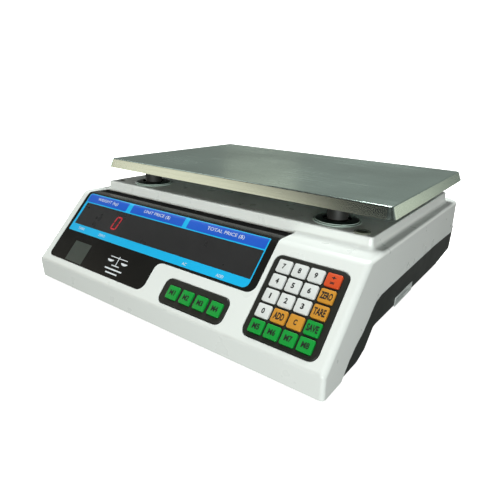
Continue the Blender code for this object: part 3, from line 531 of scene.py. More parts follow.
LOOKS = {
    "white": plastic("housing_white", (0.78, 0.81, 0.79), 0.3, spread=0.012),
    "black": plastic("base_black", (0.014, 0.018, 0.015), 0.42, depth=0.000012, spread=0.15),
    "pad": plastic("pad_black", (0.014, 0.015, 0.012), 0.45, spread=0.12),
    "rubber": plastic("rubber_black", (0.008, 0.009, 0.008), 0.6, depth=0.000012, spread=0.2),
    "skirt": plastic("skirt_gloss", (0.006, 0.012, 0.009), 0.4, spread=0.2, specular=0.3),
    # light rings along each skirt's edge: a painted highlight
    "rim": plastic("skirt_edge_highlight", (0.46, 0.58, 0.52), 0.35, spread=0.1),
    "bezel": plastic("level_rim", (0.18, 0.2, 0.15), 0.35, spread=0.1),
    # near black and matt: painted shade on the floor of the groove behind the lens
    "groove": plastic("groove_painted_shade", (0.003, 0.003, 0.003), 0.9, spread=0.1, specular=0.05),
    "lens": plastic(
        "smoked_lens", (0.012, 0.012, 0.011), 0.24,
        grain=60.0, depth=0.000002, spread=0.08, specular=0.2,
    ),
    "window": plastic("window_film", (0.026, 0.026, 0.027), 0.3, spread=0.1),
    "sky": plastic("print_sky_blue", (0.006, 0.45, 0.82), 0.35, spread=0.03),
    "royal": plastic("print_royal_blue", (0.012, 0.1, 0.57), 0.35, spread=0.04),
    "print_white": plastic("print_white", (0.72, 0.76, 0.8), 0.4, spread=0.04),
    "patch": plastic("patch_grey", (0.05, 0.062, 0.054), 0.3, spread=0.06),
    "legend": plastic("legend_black", (0.012, 0.012, 0.012), 0.5, spread=0.1),
    "key_white": plastic("key_white", (0.71, 0.73, 0.72), 0.38, spread=0.015),
    "key_green": plastic("key_green", (0.005, 0.3, 0.038), 0.4, spread=0.04),
    "key_amber": plastic("key_amber", (0.6, 0.27, 0.03), 0.4, spread=0.04),
    "key_red": plastic("key_red", (0.66, 0.08, 0.02), 0.4, spread=0.04),
    "steel": brushed("platter_steel", (0.55, 0.66, 0.61), (0.7, 0.76, 0.72), 0.24),
    "plain_steel": brushed("plain_steel", (0.45, 0.45, 0.44), (0.8, 0.8, 0.8), 0.35, (200.0, 200.0, 200.0)),
    "aluminium": brushed("cast_aluminium", (0.6, 0.6, 0.6), (0.9, 0.9, 0.9), 0.42, (300.0, 300.0, 300.0)),
    "led": glowing("led_red", (0.42, 0.018, 0.028), 0.4),
    "vial": plastic("level_liquid", (0.05, 0.06, 0.035), 0.08, grain=100.0, depth=0.000002),
    "label": plastic("label_film", (0.6, 0.64, 0.63), 0.3, spread=0.03),
    "label_ink": plastic("label_ink", (0.12, 0.14, 0.14), 0.5),
    "rocker": plastic("rocker_gloss", (0.012, 0.012, 0.012), 0.18, spread=0.1),
    "board": board_look("circuit_board"),
    "battery": plastic("battery_case", (0.05, 0.05, 0.06), 0.45),
    "core": plastic("varnished_core", (0.1, 0.085, 0.07), 0.4, grain=400.0),
    "module": plastic("digit_module", (0.02, 0.02, 0.02), 0.4),
}


# --- lettering and the lit digit ---


def add_text(name, text, look, wide, tall, place, heavy=0.0):
    """Raised lettering that fills wide by tall, centred on place (a 4x4 in millimetres)."""
    curve = bpy.data.curves.new(name, "FONT")
    curve.body = text
    curve.resolution_u = 3
    curve.extrude = 0.02
    curve.offset = heavy
    curve.size = 1.0
    drawn = linked(name + "_curve", curve)
    bpy.context.view_layer.update()
    graph = bpy.context.evaluated_depsgraph_get()
    mesh = bpy.data.meshes.new_from_object(drawn.evaluated_get(graph))
    bpy.data.objects.remove(drawn)
    xs = [v.co.x for v in mesh.vertices]
    ys = [v.co.y for v in mesh.vertices]
    middle = Matrix.Translation((-(min(xs) + max(xs)) / 2, -(min(ys) + max(ys)) / 2, 0.0))
    stretch = Matrix.Diagonal((wide / (max(xs) - min(xs)), tall / (max(ys) - min(ys)), 1.5, 1.0))
    bm = bmesh.new()
    bm.from_mesh(mesh)
    bpy.data.meshes.remove(mesh)
    bmesh.ops.remove_doubles(bm, verts=bm.verts, dist=0.0002)
    bm.transform(place @ stretch @ middle)
    return finish(bm, name, look)


def console_matrix(x, s, h):
    """Console coordinates as a 4x4, with its origin at (x, s, h)."""
    turn = Matrix.Rotation(CONSOLE_ANGLE, 4, "X")
    return Matrix.Translation(console_point(x, s, h)) @ turn


DIGIT_SLANT = 0.1


def add_zero(bm, place, wide, tall, thick):
    """The six strokes of a seven-segment 0 centred on place."""
    across = wide - thick
    up = (tall - thick) / 2
    slope = thick / 2
    strokes = (
        (0.0, up, 0.0), (across / 2, up / 2, 90.0), (across / 2, -up / 2, 90.0),
        (0.0, -up, 0.0), (-across / 2, -up / 2, 90.0), (-across / 2, up / 2, 90.0),
    )
    lean = Matrix.Identity(4)
    lean[0][1] = DIGIT_SLANT
    for x, y, turn in strokes:
        half = ((across if turn == 0.0 else up) - 0.35) / 2
        where = place @ lean @ Matrix.Translation((x, y, 0.0)) @ Matrix.Rotation(math.radians(turn), 4, "Z")
        outline = (
            (-half, 0.0), (-half + slope, -slope), (half - slope, -slope),
            (half, 0.0), (half - slope, slope), (-half + slope, slope),
        )
        add_rings(bm, [[where @ Vector((u, v, w)) for u, v in outline] for w in (-0.03, 0.03)])


# --- housing ---


def weigh_edges(bm, share_of):
    layer = bm.edges.layers.float.new("bevel_weight_edge")
    for edge in bm.edges:
        edge[layer] = share_of(edge.verts[0].co, edge.verts[1].co)


def round_back_corners(bm, side, back, radius):
    """Rounds the two upright edges at the back."""
    bmesh.ops.recalc_face_normals(bm, faces=bm.faces)
    def upright(edge):
        return all(abs(abs(v.co.x) - side) < 0.01 and v.co.y > back for v in edge.verts)
    edges = [e for e in bm.edges if upright(e) and abs(e.verts[0].co.z - e.verts[1].co.z) > 1.0]
    bmesh.ops.bevel(bm, geom=edges, offset=radius, segments=10, profile=0.5,
                    affect="EDGES", clamp_overlap=False)


LARGEST_ROUND = 10.0


def round_weighed(obj, segments):
    modifier = obj.modifiers.new("round", "BEVEL")
    modifier.limit_method = "WEIGHT"
    modifier.width = LARGEST_ROUND * MM
    modifier.segments = segments
    modifier.use_clamp_overlap = False
    apply_modifiers(obj)


def cover_rounding(a, b):
    """Share of LARGEST_ROUND for each edge of the cover's block."""
    low, high = min(a.z, b.z), max(a.z, b.z)
    if high < -FAR + 1.0:
        return 0.0
    if abs(a.x - b.x) > 50.0:
        if abs(a.y - FRONT) < 0.1 and abs(a.z - LIP_TOP) < 0.1:
            return 0.22
        if abs(a.y - BEND_Y) < 0.1:
            return BEND_REACH / LARGEST_ROUND
        if abs(a.z - SHOULDER_BACK) < 0.1:
            return 0.25
        return 0.0
    if low > SHOULDER_BACK - 1.0:
        return 0.3
    if a.y < BEND_Y + 1.0 and b.y < BEND_Y + 1.0:
        return 0.35 if high < LIP_TOP + 1.0 else 0.5
    return 0.0


def make_cover():
    bm = bmesh.new()
    add_prism(bm, side_outline(), -SIDE, SIDE, along_x)
    round_back_corners(bm, SIDE, BACK - BACK_LEAN - 1.0, BACK_CORNER)
    weigh_edges(bm, cover_rounding)
    cover = finish(bm, "cover", LOOKS["white"])
    round_weighed(cover, BEND_STEPS)

    bm = bmesh.new()
    foot = [(-DECK_COVE * (1 - math.sin(a)) - 0.5, BEND_Z + DECK_COVE * (1 - math.cos(a)))
            for a in (math.pi / 2 * i / 6 for i in range(7))]
    rise = (*foot, *quarter(DECK_ROUND, DECK_Z))
    add_stack(bm, [(deck_outline(foot[0][0]), BEND_Z - 8.0),
                   *((deck_outline(inset), height) for inset, height in rise)])
    fall = (BEND_Z - SHOULDER_BACK) / (BACK - BACK_LEAN - DECK_FRONT)
    for vert in bm.verts:
        if vert.co.z < DECK_Z - 2.0:
            vert.co.z -= max(vert.co.y - DECK_FRONT, 0.0) * fall
    combine(cover, bm, "UNION")

    bm = bmesh.new()
    add_prism(bm, offset(reversed(side_outline()), WALL), -SIDE + WALL, SIDE - WALL, along_x)
    round_back_corners(bm, SIDE - WALL, BACK - BACK_LEAN - WALL - 1.0, BACK_CORNER - WALL)
    cut(cover, bm)

    bm = bmesh.new()
    add_stack(bm, ((deck_outline(WALL), BEND_Z - 15.0), (deck_outline(WALL), DECK_Z - WALL)))
    cut(cover, bm)

    bm = bmesh.new()
    add_prism(bm, seam_outline(0.0), -SIDE - FAR, SIDE + FAR, along_x)
    cut(cover, bm)

    bm = bmesh.new()
    floor = -LENS_SUNK - LENS_THICK - GAP
    flare = ((GAP, floor), (GAP, -0.7), (GAP + 0.25, -0.2), (GAP + 0.8, 0.05), (GAP + 0.8, WALL))
    add_bent_stack(bm, [(lens_outline(grow, LENS_GROOVE), h) for grow, h in flare])
    cut(cover, bm)
    bm = bmesh.new()
    add_bent_stack(bm, [(lens_outline(-4.0), -2 * WALL), (lens_outline(-4.0), 0.0)])
    cut(cover, bm)

    flare = ((GAP, -2 * WALL), (GAP, -0.9), (GAP + 0.35, -0.25), (GAP + 1.0, 0.05), (GAP + 1.0, WALL))
    for pad in (KEYPAD, MEMORY_PAD):
        bm = bmesh.new()
        add_stack(bm, [(pad_outline(pad, grow), h) for grow, h in flare], console_point)
        cut(cover, bm)

    bm = bmesh.new()
    flare = ((GAP, floor), (GAP, -0.5), (GAP + 0.5, 0.05), (GAP + 0.5, WALL))
    add_stack(bm, [(rear_lens_outline(grow), h) for grow, h in flare], rear_point)
    cut(cover, bm)
    bm = bmesh.new()
    add_prism(bm, rear_lens_outline(-4.0), -2 * WALL, 0.0, rear_point)
    cut(cover, bm)

    bm = bmesh.new()
    for x, y in POSTS:
        add_turned(bm, ((POST_HOLE, DECK_Z - 20.0), (POST_HOLE, DECK_Z + 20.0)), (x, y))
    seat = ((5.9, -20.0), (5.9, -0.6), (6.6, 0.1), (6.6, 20.0))
    add_turned(bm, [(radius, DECK_Z + height) for radius, height in seat], LEVEL)
    well = ((2.1, -20.0), (2.1, -1.8), (4.2, -1.8), (4.8, 0.05), (4.8, 20.0))
    for _, x, y in DECK_SCREWS:
        add_turned(bm, [(radius, DECK_Z + height) for radius, height in well], (x, y), 32)
    cut(cover, bm)
    settle(even_shading(cover), "root", "housing_white", "top_housing")


def make_skirts():
    """The glossy skirt round each post hole, and two light rings on its edge that are a painted highlight.
    """
    for name, (x, y) in zip(CORNERS, POSTS):
        bm = bmesh.new()
        profile = (
            (12.6, DECK_Z + 0.05), (20.6, DECK_Z + 0.05), (20.8, 98.7), (19.6, 99.3),
            (16.4, 100.0), (13.4, COLLAR_TOP), (12.6, 100.3),
        )
        loops = [[bm.verts.new(along_z(u, v, height)) for u, v in circle(radius, (x, y))]
                 for radius, height in profile]
        join_loops(bm, loops + loops[:1])
        add_piece(bm, "skirt_" + name, "skirt", "root", "rubber_black")
        # two thin light rings on the skirt's outer edge, coloured as a painted highlight
        bm = bmesh.new()
        for radius, height in ((21.3, 98.3), (19.9, 99.25)):
            centre = Matrix.Translation((radius, 0.0, height)) @ Matrix.Rotation(math.pi / 2, 4, "X")
            ring = bmesh.ops.create_circle(bm, segments=8, radius=0.38, matrix=centre)["verts"]
            edges = {edge for vert in ring for edge in vert.link_edges}
            bmesh.ops.spin(bm, geom=list(edges), cent=(0.0, 0.0, 0.0), axis=(0.0, 0.0, 1.0),
                           angle=2 * math.pi, steps=48, use_merge=True)
        bm.transform(Matrix.Translation((x, y, 0.0)))
        settle(finish(bm, "skirt_edge_highlight_" + name, LOOKS["rim"], 80.0), "root", "rubber_black")


def base_floor(y):
    """Height of the base's underside at y."""
    for (y0, z0), (y1, z1) in zip(BASE_LINE, BASE_LINE[1:]):
        if y0 <= y <= y1:
            return z0 + (z1 - z0) * (y - y0) / (y1 - y0)
    return BASE_LINE[-1][1]


def base_rounding(a, b):
    """Share of LARGEST_ROUND for each edge of the base's block: its lower edges."""
    if abs(a.x - b.x) > 50.0:
        return 0.0
    for point in (a, b):
        if point.y < BASE_FRONT + 1.0 or point.z > base_floor(min(point.y, BACK - 2.0)) + 1.0:
            return 0.0
    return 0.4


def make_base():
    side = SIDE - BASE_INSET
    back = BACK - BASE_INSET
    seam_top = seam_outline(SEAM_GAP)[1:-3]
    start = Vector((BASE_WALL_START, 6.5))
    wall_top = [p for p in seam_top if p.x > BASE_WALL_START]
    wall_top[-1] = Vector((back, wall_top[-1].y))
    floor_line = [Vector(p) for p in BASE_LINE]
    bm = bmesh.new()
    section = [*floor_line, *reversed(wall_top), start, Vector((BASE_FRONT, start.y))]
    add_prism(bm, section, -side, side, along_x)
    round_back_corners(bm, side, back - 1.0, BACK_CORNER)
    weigh_edges(bm, base_rounding)
    base = finish(bm, "base", LOOKS["black"])
    round_weighed(base, 5)

    bm = bmesh.new()
    narrow = SIDE - WALL - 0.4
    for sign in (-1, 1):
        x = sorted((sign * narrow, sign * (side + 5.0)))
        add_box(bm, x, (BASE_FRONT - 5.0, BASE_WALL_START), (-5.0, 20.0))
    cut(base, bm)

    bm = bmesh.new()
    inner_line = offset(floor_line, BASE_WALL)
    inner_line[0] = Vector((BASE_WALL_START + 0.7, inner_line[0].y))
    inner_line[-1] = Vector((back - BASE_WALL, inner_line[-1].y))
    top = [Vector((inner_line[-1].x, FAR * 2)), Vector((inner_line[0].x, FAR * 2))]
    add_prism(bm, [*inner_line, *top], -side + BASE_WALL, side - BASE_WALL, along_x)
    round_back_corners(bm, side - BASE_WALL, back - BASE_WALL - 1.0, BACK_CORNER - BASE_WALL)
    cut(base, bm)

    bm = bmesh.new()
    for x, y in FEET:
        floor = base_floor(y)
        add_turned(bm, ((9.0, floor + 1.0), (8.0, floor + 22.0)), (x, y))
    for _, x, y in DECK_SCREWS:
        add_turned(bm, ((5.5, base_floor(y) + 1.0), (4.5, DECK_Z - WALL - GAP)), (x, y), 24)
    for x in (-116.0, 116.0):
        for y in (-38.0, 108.0):
            add_turned(bm, ((6.0, base_floor(y) + 1.0), (5.0, 54.6)), (x, y), 24)
    for x in (20.0, 95.0):
        for y in (-63.0, -5.0):
            add_turned(bm, ((3.5, base_floor(y) + 1.0), (3.0, 26.7)), (x, y), 16)
    rim_y = (POCKET_Y[0] - 2.0, POCKET_Y[1] + 2.0)
    rim_z = (POCKET_Z[0] - 2.0, POCKET_Z[1] + 2.0)
    add_box(bm, (-side + 1.0, POCKET_X + 2.5), rim_y, rim_z)
    combine(base, bm, "UNION")

    bm = bmesh.new()
    for x, y in FEET:
        floor = base_floor(y)
        add_turned(bm, ((3.4, floor - FAR), (3.4, floor + 20.0)), (x, y), 24)
    for _, x, y in DECK_SCREWS:
        add_turned(bm, ((2.0, DECK_Z - WALL - 16.0), (2.0, DECK_Z + FAR)), (x, y), 24)
    add_box(bm, HATCH_X, HATCH_Y, (0.0, 26.0))
    pocket = rectangle(POCKET_Y, POCKET_Z, 2.0)
    mouth = rectangle((POCKET_Y[0] - 1.0, POCKET_Y[1] + 1.0), (POCKET_Z[0] - 1.0, POCKET_Z[1] + 1.0), 3.0)
    layers = ((mouth, -SIDE - FAR), (mouth, -side - 0.05), (pocket, -side + 1.0), (pocket, POCKET_X))
    add_stack(bm, layers, along_x)
    cut(base, bm)

    bm = bmesh.new()
    add_prism(bm, centred(INLET_Y, POWER_Z, 24.6, 17.6, 3.0), POCKET_X - FAR, POCKET_X + 10.0, along_x)
    add_prism(bm, centred(SWITCH_Y, POWER_Z, 19.6, 13.6, 0.8), POCKET_X - FAR, POCKET_X + 10.0, along_x)
    cut(base, bm)
    settle(even_shading(base), "root", "base_black", "bottom_housing")


# --- console ---


def make_lens():
    top = -LENS_SUNK
    floor = top - LENS_THICK
    bm = bmesh.new()
    layers = ((0.0, floor), (0.0, top - 0.5), (-0.15, top - 0.15), (-0.5, top))
    add_bent_stack(bm, [(lens_outline(grow), h) for grow, h in layers])
    lens = finish(bm, "lens", LOOKS["lens"])
    settle(even_shading(lens, 60.0), "root", "lens_dark", "display_lens")


def make_groove_shade_strip():
    """A black strip on the bottom of the groove behind the lens: painted shade for the groove's deep
    shadow.
    """
    y = BEND_Y + LENS_END - CONSOLE_LENGTH
    floor = BEND_Z - LENS_SUNK - LENS_THICK - GAP
    bm = bmesh.new()
    outline = rectangle((LENS_LEFT, LENS_RIGHT), (y + GAP, y + LENS_GROOVE - 0.3), 2.5)
    inside = rectangle((LENS_LEFT + 0.3, LENS_RIGHT - 0.3), (y + GAP + 0.3, y + LENS_GROOVE - 0.6), 2.2)
    add_stack(bm, ((outline, floor + 0.02), (outline, floor + 0.5), (inside, floor + 0.8)))
    add_piece(bm, "groove_shade_strip", "groove", "root", "rubber_black")


FILM_STEP = 0.035
FILM_THICK = 0.05


def console_print(name, outline, look, level):
    """A printed area on the lens; level counts the layers of film under it."""
    low = -LENS_SUNK - 0.02 + FILM_STEP * level
    bm = bmesh.new()
    add_bent_stack(bm, ((outline, low), (outline, low + FILM_THICK)))
    add_piece(bm, name, look, "root", "lens_dark")


PRINT_TOP = -LENS_SUNK + 0.12
HEADERS = (
    ("weight", "WEIGHT (kg)", (-157.0, -91.0), 34.0),
    ("unit_price", "UNIT PRICE ($)", (-84.4, -9.8), 37.0),
    ("total_price", "TOTAL PRICE ($)", (-4.2, 85.8), 42.5),
)
FLAG_TALL = 2.6
FLAGS = (("TARE", -138.5, 45.6), ("ZERO", -103.2, 45.1), ("AC", 15.7, 44.3), ("ADD", 57.0, 44.0))


def make_prints():
    frame_corners = ((-158.0, 41.0, 1.5), (87.0, 41.0, 6.0), (87.0, 89.2, 1.2), (-158.0, 89.2, 3.0))
    console_print("print_frame", rounded(frame_corners), "sky", 0)
    console_print("print_window", rectangle((-154.5, 85.8), (49.5, 76.6), 0.6), "window", 1)
    for name, text, x, wide in HEADERS:
        console_print("print_header_" + name, rectangle(x, (77.8, 88.2), 0.5), "royal", 1)
        place = console_matrix(sum(x) / 2, 83.0, PRINT_TOP)
        piece = add_text("print_words_" + name, text, LOOKS["print_white"], wide, 4.3, place)
        settle(piece, "root", "label_silver")
    for text, x, s in FLAGS:
        place = console_matrix(x, s, PRINT_TOP)
        name = "print_flag_" + text.lower()
        piece = add_text(name, text, LOOKS["print_white"], FLAG_TALL * len(text), FLAG_TALL, place)
        settle(piece, "root", "label_silver")
    console_print("print_patch", rectangle((-135.0, -108.0), (8.7, 31.5), 0.5), "patch", 0)


def make_pictogram():
    """A plain balance drawing over two bars, in white on the lens."""
    parts = (
        ("beam", rectangle((-74.0, -49.0), (28.2, 29.0), 0.3)),
        ("stem", rectangle((-62.0, -61.0), (20.6, 30.4), 0.3)),
        ("foot", rectangle((-67.0, -56.0), (19.6, 20.6), 0.3)),
        ("bar_upper", rectangle((-74.0, -49.0), (15.4, 16.8), 0.4)),
        ("bar_lower", rectangle((-70.0, -53.0), (11.4, 12.8), 0.4)),
    )
    for name, outline in parts:
        console_print("mark_" + name, outline, "print_white", 0)
    for name, x in (("left", -71.5), ("right", -51.5)):
        angles = (math.pi * (1 + i / 10) for i in range(11))
        pan = [Vector((x + 4.6 * math.cos(a), 25.4 + 2.4 * math.sin(a))) for a in angles]
        console_print("mark_pan_" + name, pan, "print_white", 0)


DIGIT_AT = (-93.3, 62.5)
DIGIT_SIZE = (8.6, 15.6, 1.5)  # width, height and the width of a stroke


def make_digits():
    """The one lit digit, in the weight window."""
    bm = bmesh.new()
    add_zero(bm, console_matrix(*DIGIT_AT, PRINT_TOP), *DIGIT_SIZE)
    add_piece(bm, "lit_digit", "led", "root", "display_black")


def key_layers(pad):
    """(outline, height) layers of a key, round its own middle."""
    wide, tall = pad["key"]
    flange_top = PAD_PROUD - PAD_THICK - GAP
    crown = PAD_PROUD + KEY_TALL
    flange = centred(0.0, 0.0, wide + FLANGE, tall + FLANGE, 1.5)
    layers = [
        (flange, flange_top - FLANGE_THICK),
        (flange, flange_top),
        (centred(0.0, 0.0, wide, tall, KEY_CORNER), flange_top),
    ]
    for inset, height in quarter(KEY_CROWN, crown, 4):
        top = centred(0.0, 0.0, wide - 2 * inset, tall - 2 * inset, KEY_CORNER - inset)
        layers.append((top, height))
    return layers


def key_look(name):
    if name.startswith("memory") or name == "save":
        return "key_green"
    if name in AMBER_KEYS:
        return "key_amber"
    return "key_red" if name == "accumulate" else "key_white"


LEGEND_SIZES = {1: (2.7, 4.6), 2: (6.3, 4.8), 3: (8.6, 5.8), 4: (9.6, 5.8)}  # by its number of letters
LEGEND_WEIGHT = 0.04  # how far a legend's strokes are thickened


def make_key(name, text, pad, x, s):
    bm = bmesh.new()
    add_stack(bm, key_layers(pad))
    bm.transform(console_matrix(x, s, 0.0))
    look = key_look(name)
    body = "button_" + name
    settle(finish(bm, "cap_" + name, LOOKS[look], 50.0), body, look, "key_" + name)
    wide, tall = (3.4, 6.2) if name == "accumulate" else LEGEND_SIZES[len(text)]
    if text == "1":
        wide = 1.3
    place = console_matrix(x, s, PAD_PROUD + KEY_TALL + 0.01)
    piece = add_text("legend_" + name, text, LOOKS["legend"], wide, tall, place, LEGEND_WEIGHT)
    settle(piece, body, "keypad_black")


def make_pad(piece_name, node, pad, rows):
    bm = bmesh.new()
    top = [(pad_outline(pad, -inset), height) for inset, height in quarter(PAD_ROUND, PAD_PROUD, 3)]
    add_stack(bm, [(pad_outline(pad, 0.0), PAD_PROUD - PAD_THICK), *top], console_point)
    bezel = finish(bm, piece_name, LOOKS["pad"])
    bm = bmesh.new()
    wide, tall = pad["key"]
    places = []
    for row, names in enumerate(rows):
        for column, (name, text) in enumerate(names):
            x = pad["first"][0] + column * pad["pitch"][0]
            s = pad["first"][1] + row * pad["pitch"][1]
            places.append((name, text, x, s))
            hole = centred(x, s, wide + 0.6, tall + 0.6, 1.8)
            mouth = centred(x, s, wide + 1.3, tall + 1.3, 2.1)
            layers = ((hole, -WALL), (hole, PAD_PROUD - 0.35), (mouth, PAD_PROUD + 0.01), (mouth, WALL))
            add_stack(bm, layers, console_point)
    cut(bezel, bm)
    settle(even_shading(bezel), "root", "keypad_black", node)
    for name, text, x, s in places:
        make_key(name, text, pad, x, s)


def make_rear_display():
    top = -LENS_SUNK
    bm = bmesh.new()
    layers = ((0.0, top - LENS_THICK), (0.0, top - 0.4), (-0.4, top))
    add_stack(bm, [(rear_lens_outline(grow), h) for grow, h in layers], rear_point)
    add_piece(bm, "rear_lens", "lens", "root", "lens_dark", "rear_display_lens")
    areas = (("rear_window_", 15.4, 15.0, 0.6, "window"), ("rear_line_", 24.6, 1.2, 0.3, "sky"))
    for name, x in (("weight", -64.0), ("unit_price", 0.0), ("total_price", 64.0)):
        for start, y, tall, corner, look in areas:
            bm = bmesh.new()
            add_prism(bm, centred(x, y, 58.0, tall, corner), top - 0.02, top + 0.03, rear_point)
            add_piece(bm, start + name, look, "root", "lens_dark")


# --- platter, its cups and the parts on the deck ---


def platter_outline(inset):
    half_x = PLATTER_X / 2 - inset
    half_y = PLATTER_Y / 2 - inset
    return rectangle((-half_x, half_x), (-half_y, half_y), PLATTER_CORNER - 0.75 * inset, 8)


def platter_fold(radius, bottom):
    """(inset, height) pairs from the lip's bottom edge up its flare and round the fold."""
    pairs = [(bottom, -PLATTER_LIP)]
    for step in range(9):
        angle = LIP_FLARE + (math.pi / 2 - LIP_FLARE) * step / 8
        pairs.append((FOLD_INSET - radius * math.cos(angle), -FOLD_RADIUS + radius * math.sin(angle)))
    return pairs


def make_platter():
    """The folded sheet pan, open underneath."""
    outer = platter_fold(FOLD_RADIUS, 0.0)
    inner = platter_fold(FOLD_RADIUS - PLATTER_SHEET, PLATTER_SHEET / math.cos(LIP_FLARE))
    bm = bmesh.new()
    add_stack(bm, [(platter_outline(inset), height) for inset, height in (*reversed(inner), *outer)])
    bm.transform(Matrix.Translation((0.0, PLATTER_CENTRE_Y, PLATTER_TOP)))
    pan = finish(bm, "pan", LOOKS["steel"])
    settle(even_shading(pan, 60.0), "platter", "platter_steel", "platter")


def make_cups():
    bore = 6.3
    low = COLLAR_TOP - CUP_SUNK
    top = PLATTER_TOP - PLATTER_SHEET - GAP
    profile = [
        (bore, 111.3), (bore, low), (8.9, low), (9.3, low + 0.4),
        (9.3, top - 0.9), (9.0, top - 0.3), (8.4, top),
    ]
    for name, (x, y) in zip(CORNERS, POSTS):
        bm = bmesh.new()
        add_turned(bm, profile, (x, y))
        support = "platter_support_" + name
        add_piece(bm, "cup_" + name, "rubber", "weigh_platform", "rubber_black", support)


def make_level():
    """The bubble level: a bezel and the liquid's dome."""
    x, y = LEVEL
    bm = bmesh.new()
    profile = ((5.5, 92.0), (5.5, 98.3), (7.0, 98.3), (7.0, 98.9), (6.6, 99.2), (5.4, 99.2), (5.2, 98.8))
    add_turned(bm, profile, (x, y))
    add_piece(bm, "level_bezel", "bezel", "root", "level_vial", "bubble_level")
    bm = bmesh.new()
    add_turned(bm, ((5.1, 98.7), (5.1, 98.95), (3.8, 99.3), (1.6, 99.5)), (x, y))
    add_piece(bm, "level_dome", "vial", "root", "level_vial")


def make_deck_screws():
    for name, x, y in DECK_SCREWS:
        bm = bmesh.new()
        profile = ((1.6, 84.0), (1.6, 96.5), (3.6, 96.5), (3.6, 97.3), (3.1, 97.9), (2.0, 98.2))
        add_turned(bm, profile, (x, y), 32)
        screw = finish(bm, "screw_" + name, LOOKS["plain_steel"])
        for half_x, half_y in ((0.5, 2.2), (2.2, 0.5)):
            bm = bmesh.new()
            add_box(bm, (x - half_x, x + half_x), (y - half_y, y + half_y), (97.4, 99.0))
            cut(screw, bm)
        settle(even_shading(screw), "root", "plain_steel", "deck_screw_" + name)


# --- underneath and the power pocket ---


def make_feet():
    for name, (x, y) in zip(CORNERS, FEET):
        bm = bmesh.new()
        profile = (
            (11.0, 0.4), (11.4, 0.0), (12.2, 0.3), (12.8, 1.0),
            (13.0, 2.0), (13.0, 6.8), (12.6, 8.2), (11.6, 9.0),
            (9.2, 9.2), (9.0, 9.5), (9.0, 11.6), (8.6, 12.0), (3.0, 12.0),
        )
        turns = 18
        thread = []
        for i in range(turns):
            z = 12.6 + i * 1.15
            thread += [(2.55, z), (3.0, z + 0.45)]
        add_turned(bm, (*profile, *thread, (2.6, 34.0)), (x, y))
        body = "levelling_foot_" + name
        add_piece(bm, "foot_pad_" + name, "rubber", body, "rubber_black", "foot_" + name)


def make_battery_door():
    lean = math.atan2(BASE_LINE[5][1] - BASE_LINE[4][1], BASE_LINE[5][0] - BASE_LINE[4][0])
    middle = (sum(HATCH_X) / 2, sum(HATCH_Y) / 2)
    wide = HATCH_X[1] - HATCH_X[0]
    deep = HATCH_Y[1] - HATCH_Y[0]
    place = Matrix.Translation((*middle, base_floor(middle[1]))) @ Matrix.Rotation(lean, 4, "X")
    def plate(inset):
        return centred(0.0, 0.0, wide + 12.0 - 2 * inset, deep + 12.0 - 2 * inset, 3.0)
    tongue = rectangle((-wide / 2 + 1.0, wide / 2 - 1.0), (-deep / 2 + 1.0, deep / 2 - 14.0), 1.0, 4)
    bm = bmesh.new()
    rim = ((plate(0.7), -2.5), (plate(0.2), -2.3), (plate(0.0), -1.9), (plate(0.0), -GAP))
    add_stack(bm, (*rim, (tongue, -GAP), (tongue, 1.6)))
    bm.transform(place)
    door = finish(bm, "door", LOOKS["black"])
    bm = bmesh.new()
    for i in range(5):
        y = -deep / 2 + 2.0 + 3.2 * i
        add_prism(bm, centred(0.0, y, 34.0, 1.4, 0.6), -3.5, -1.9)
    bm.transform(place)
    cut(door, bm)
    settle(even_shading(door), "battery_door", "base_black", "battery_cover")


def make_holder(name, node, y, flange, body, depth, hole, floor):
    """A flanged black frame in the power pocket; flange and body are (width, height, corner)."""
    low, high = POCKET_X - GAP - 1.2, POCKET_X - GAP
    def outer(inset):
        return centred(y, POWER_Z, flange[0] - 2 * inset, flange[1] - 2 * inset, flange[2])
    inner = centred(y, POWER_Z, *body)
    rim = ((outer(0.5), low), (outer(0.0), low + 0.5), (outer(0.0), high))
    bm = bmesh.new()
    add_stack(bm, (*rim, (inner, high), (inner, POCKET_X + depth)), along_x)
    holder = finish(bm, name, LOOKS["rocker"])
    bm = bmesh.new()
    add_prism(bm, hole, low - FAR, POCKET_X + floor, along_x)
    cut(holder, bm)
    settle(even_shading(holder), "root", "base_black", node)


def make_power_entry():
    corners = ((-10.0, -6.5), (10.0, -6.5), (10.0, 3.5), (6.5, 6.5), (-6.5, 6.5), (-10.0, 3.5))
    socket = rounded([(INLET_Y + y, POWER_Z + z, 1.0) for y, z in corners])
    make_holder("inlet", "power_inlet", INLET_Y, (28.0, 21.0, 3.0), (24.0, 17.0, 3.0), 20.0, socket, 16.0)
    for name, across, up in (("left", -6.0, -2.0), ("earth", 0.0, 2.0), ("right", 6.0, -2.0)):
        bm = bmesh.new()
        blade = centred(INLET_Y + across, POWER_Z + up, 2.0, 4.0, 0.4)
        tip = centred(INLET_Y + across, POWER_Z + up, 1.2, 3.2, 0.3)
        add_stack(bm, ((tip, POCKET_X + 1.5), (blade, POCKET_X + 2.3), (blade, POCKET_X + 17.0)), along_x)
        add_piece(bm, "inlet_pin_" + name, "plain_steel", "root", "plain_steel")

    hole = centred(SWITCH_Y, POWER_Z, 16.8, 10.6, 0.6)
    flange, body = (23.0, 16.5, 2.0), (19.0, 13.0, 0.8)
    make_holder("switch_frame", "switch_body", SWITCH_Y, flange, body, 18.0, hole, 9.0)

    bm = bmesh.new()
    face = [Vector((-2.4 - 0.8 * (1 - (y / 7.6) ** 2), y)) for y in (7.6 * (i / 8 - 1) for i in range(17))]
    side = [*face, Vector((4.6, 5.0)), Vector((4.6, -5.0))]
    add_prism(bm, side, -4.9, 4.9)
    pivot = Matrix.Translation((POCKET_X + 0.6, SWITCH_Y, POWER_Z))
    bm.transform(pivot @ Matrix.Rotation(ROCKER_TILT, 4, "Z"))
    add_piece(bm, "rocker", "rocker", "power_rocker", "rocker_black", "switch_rocker")


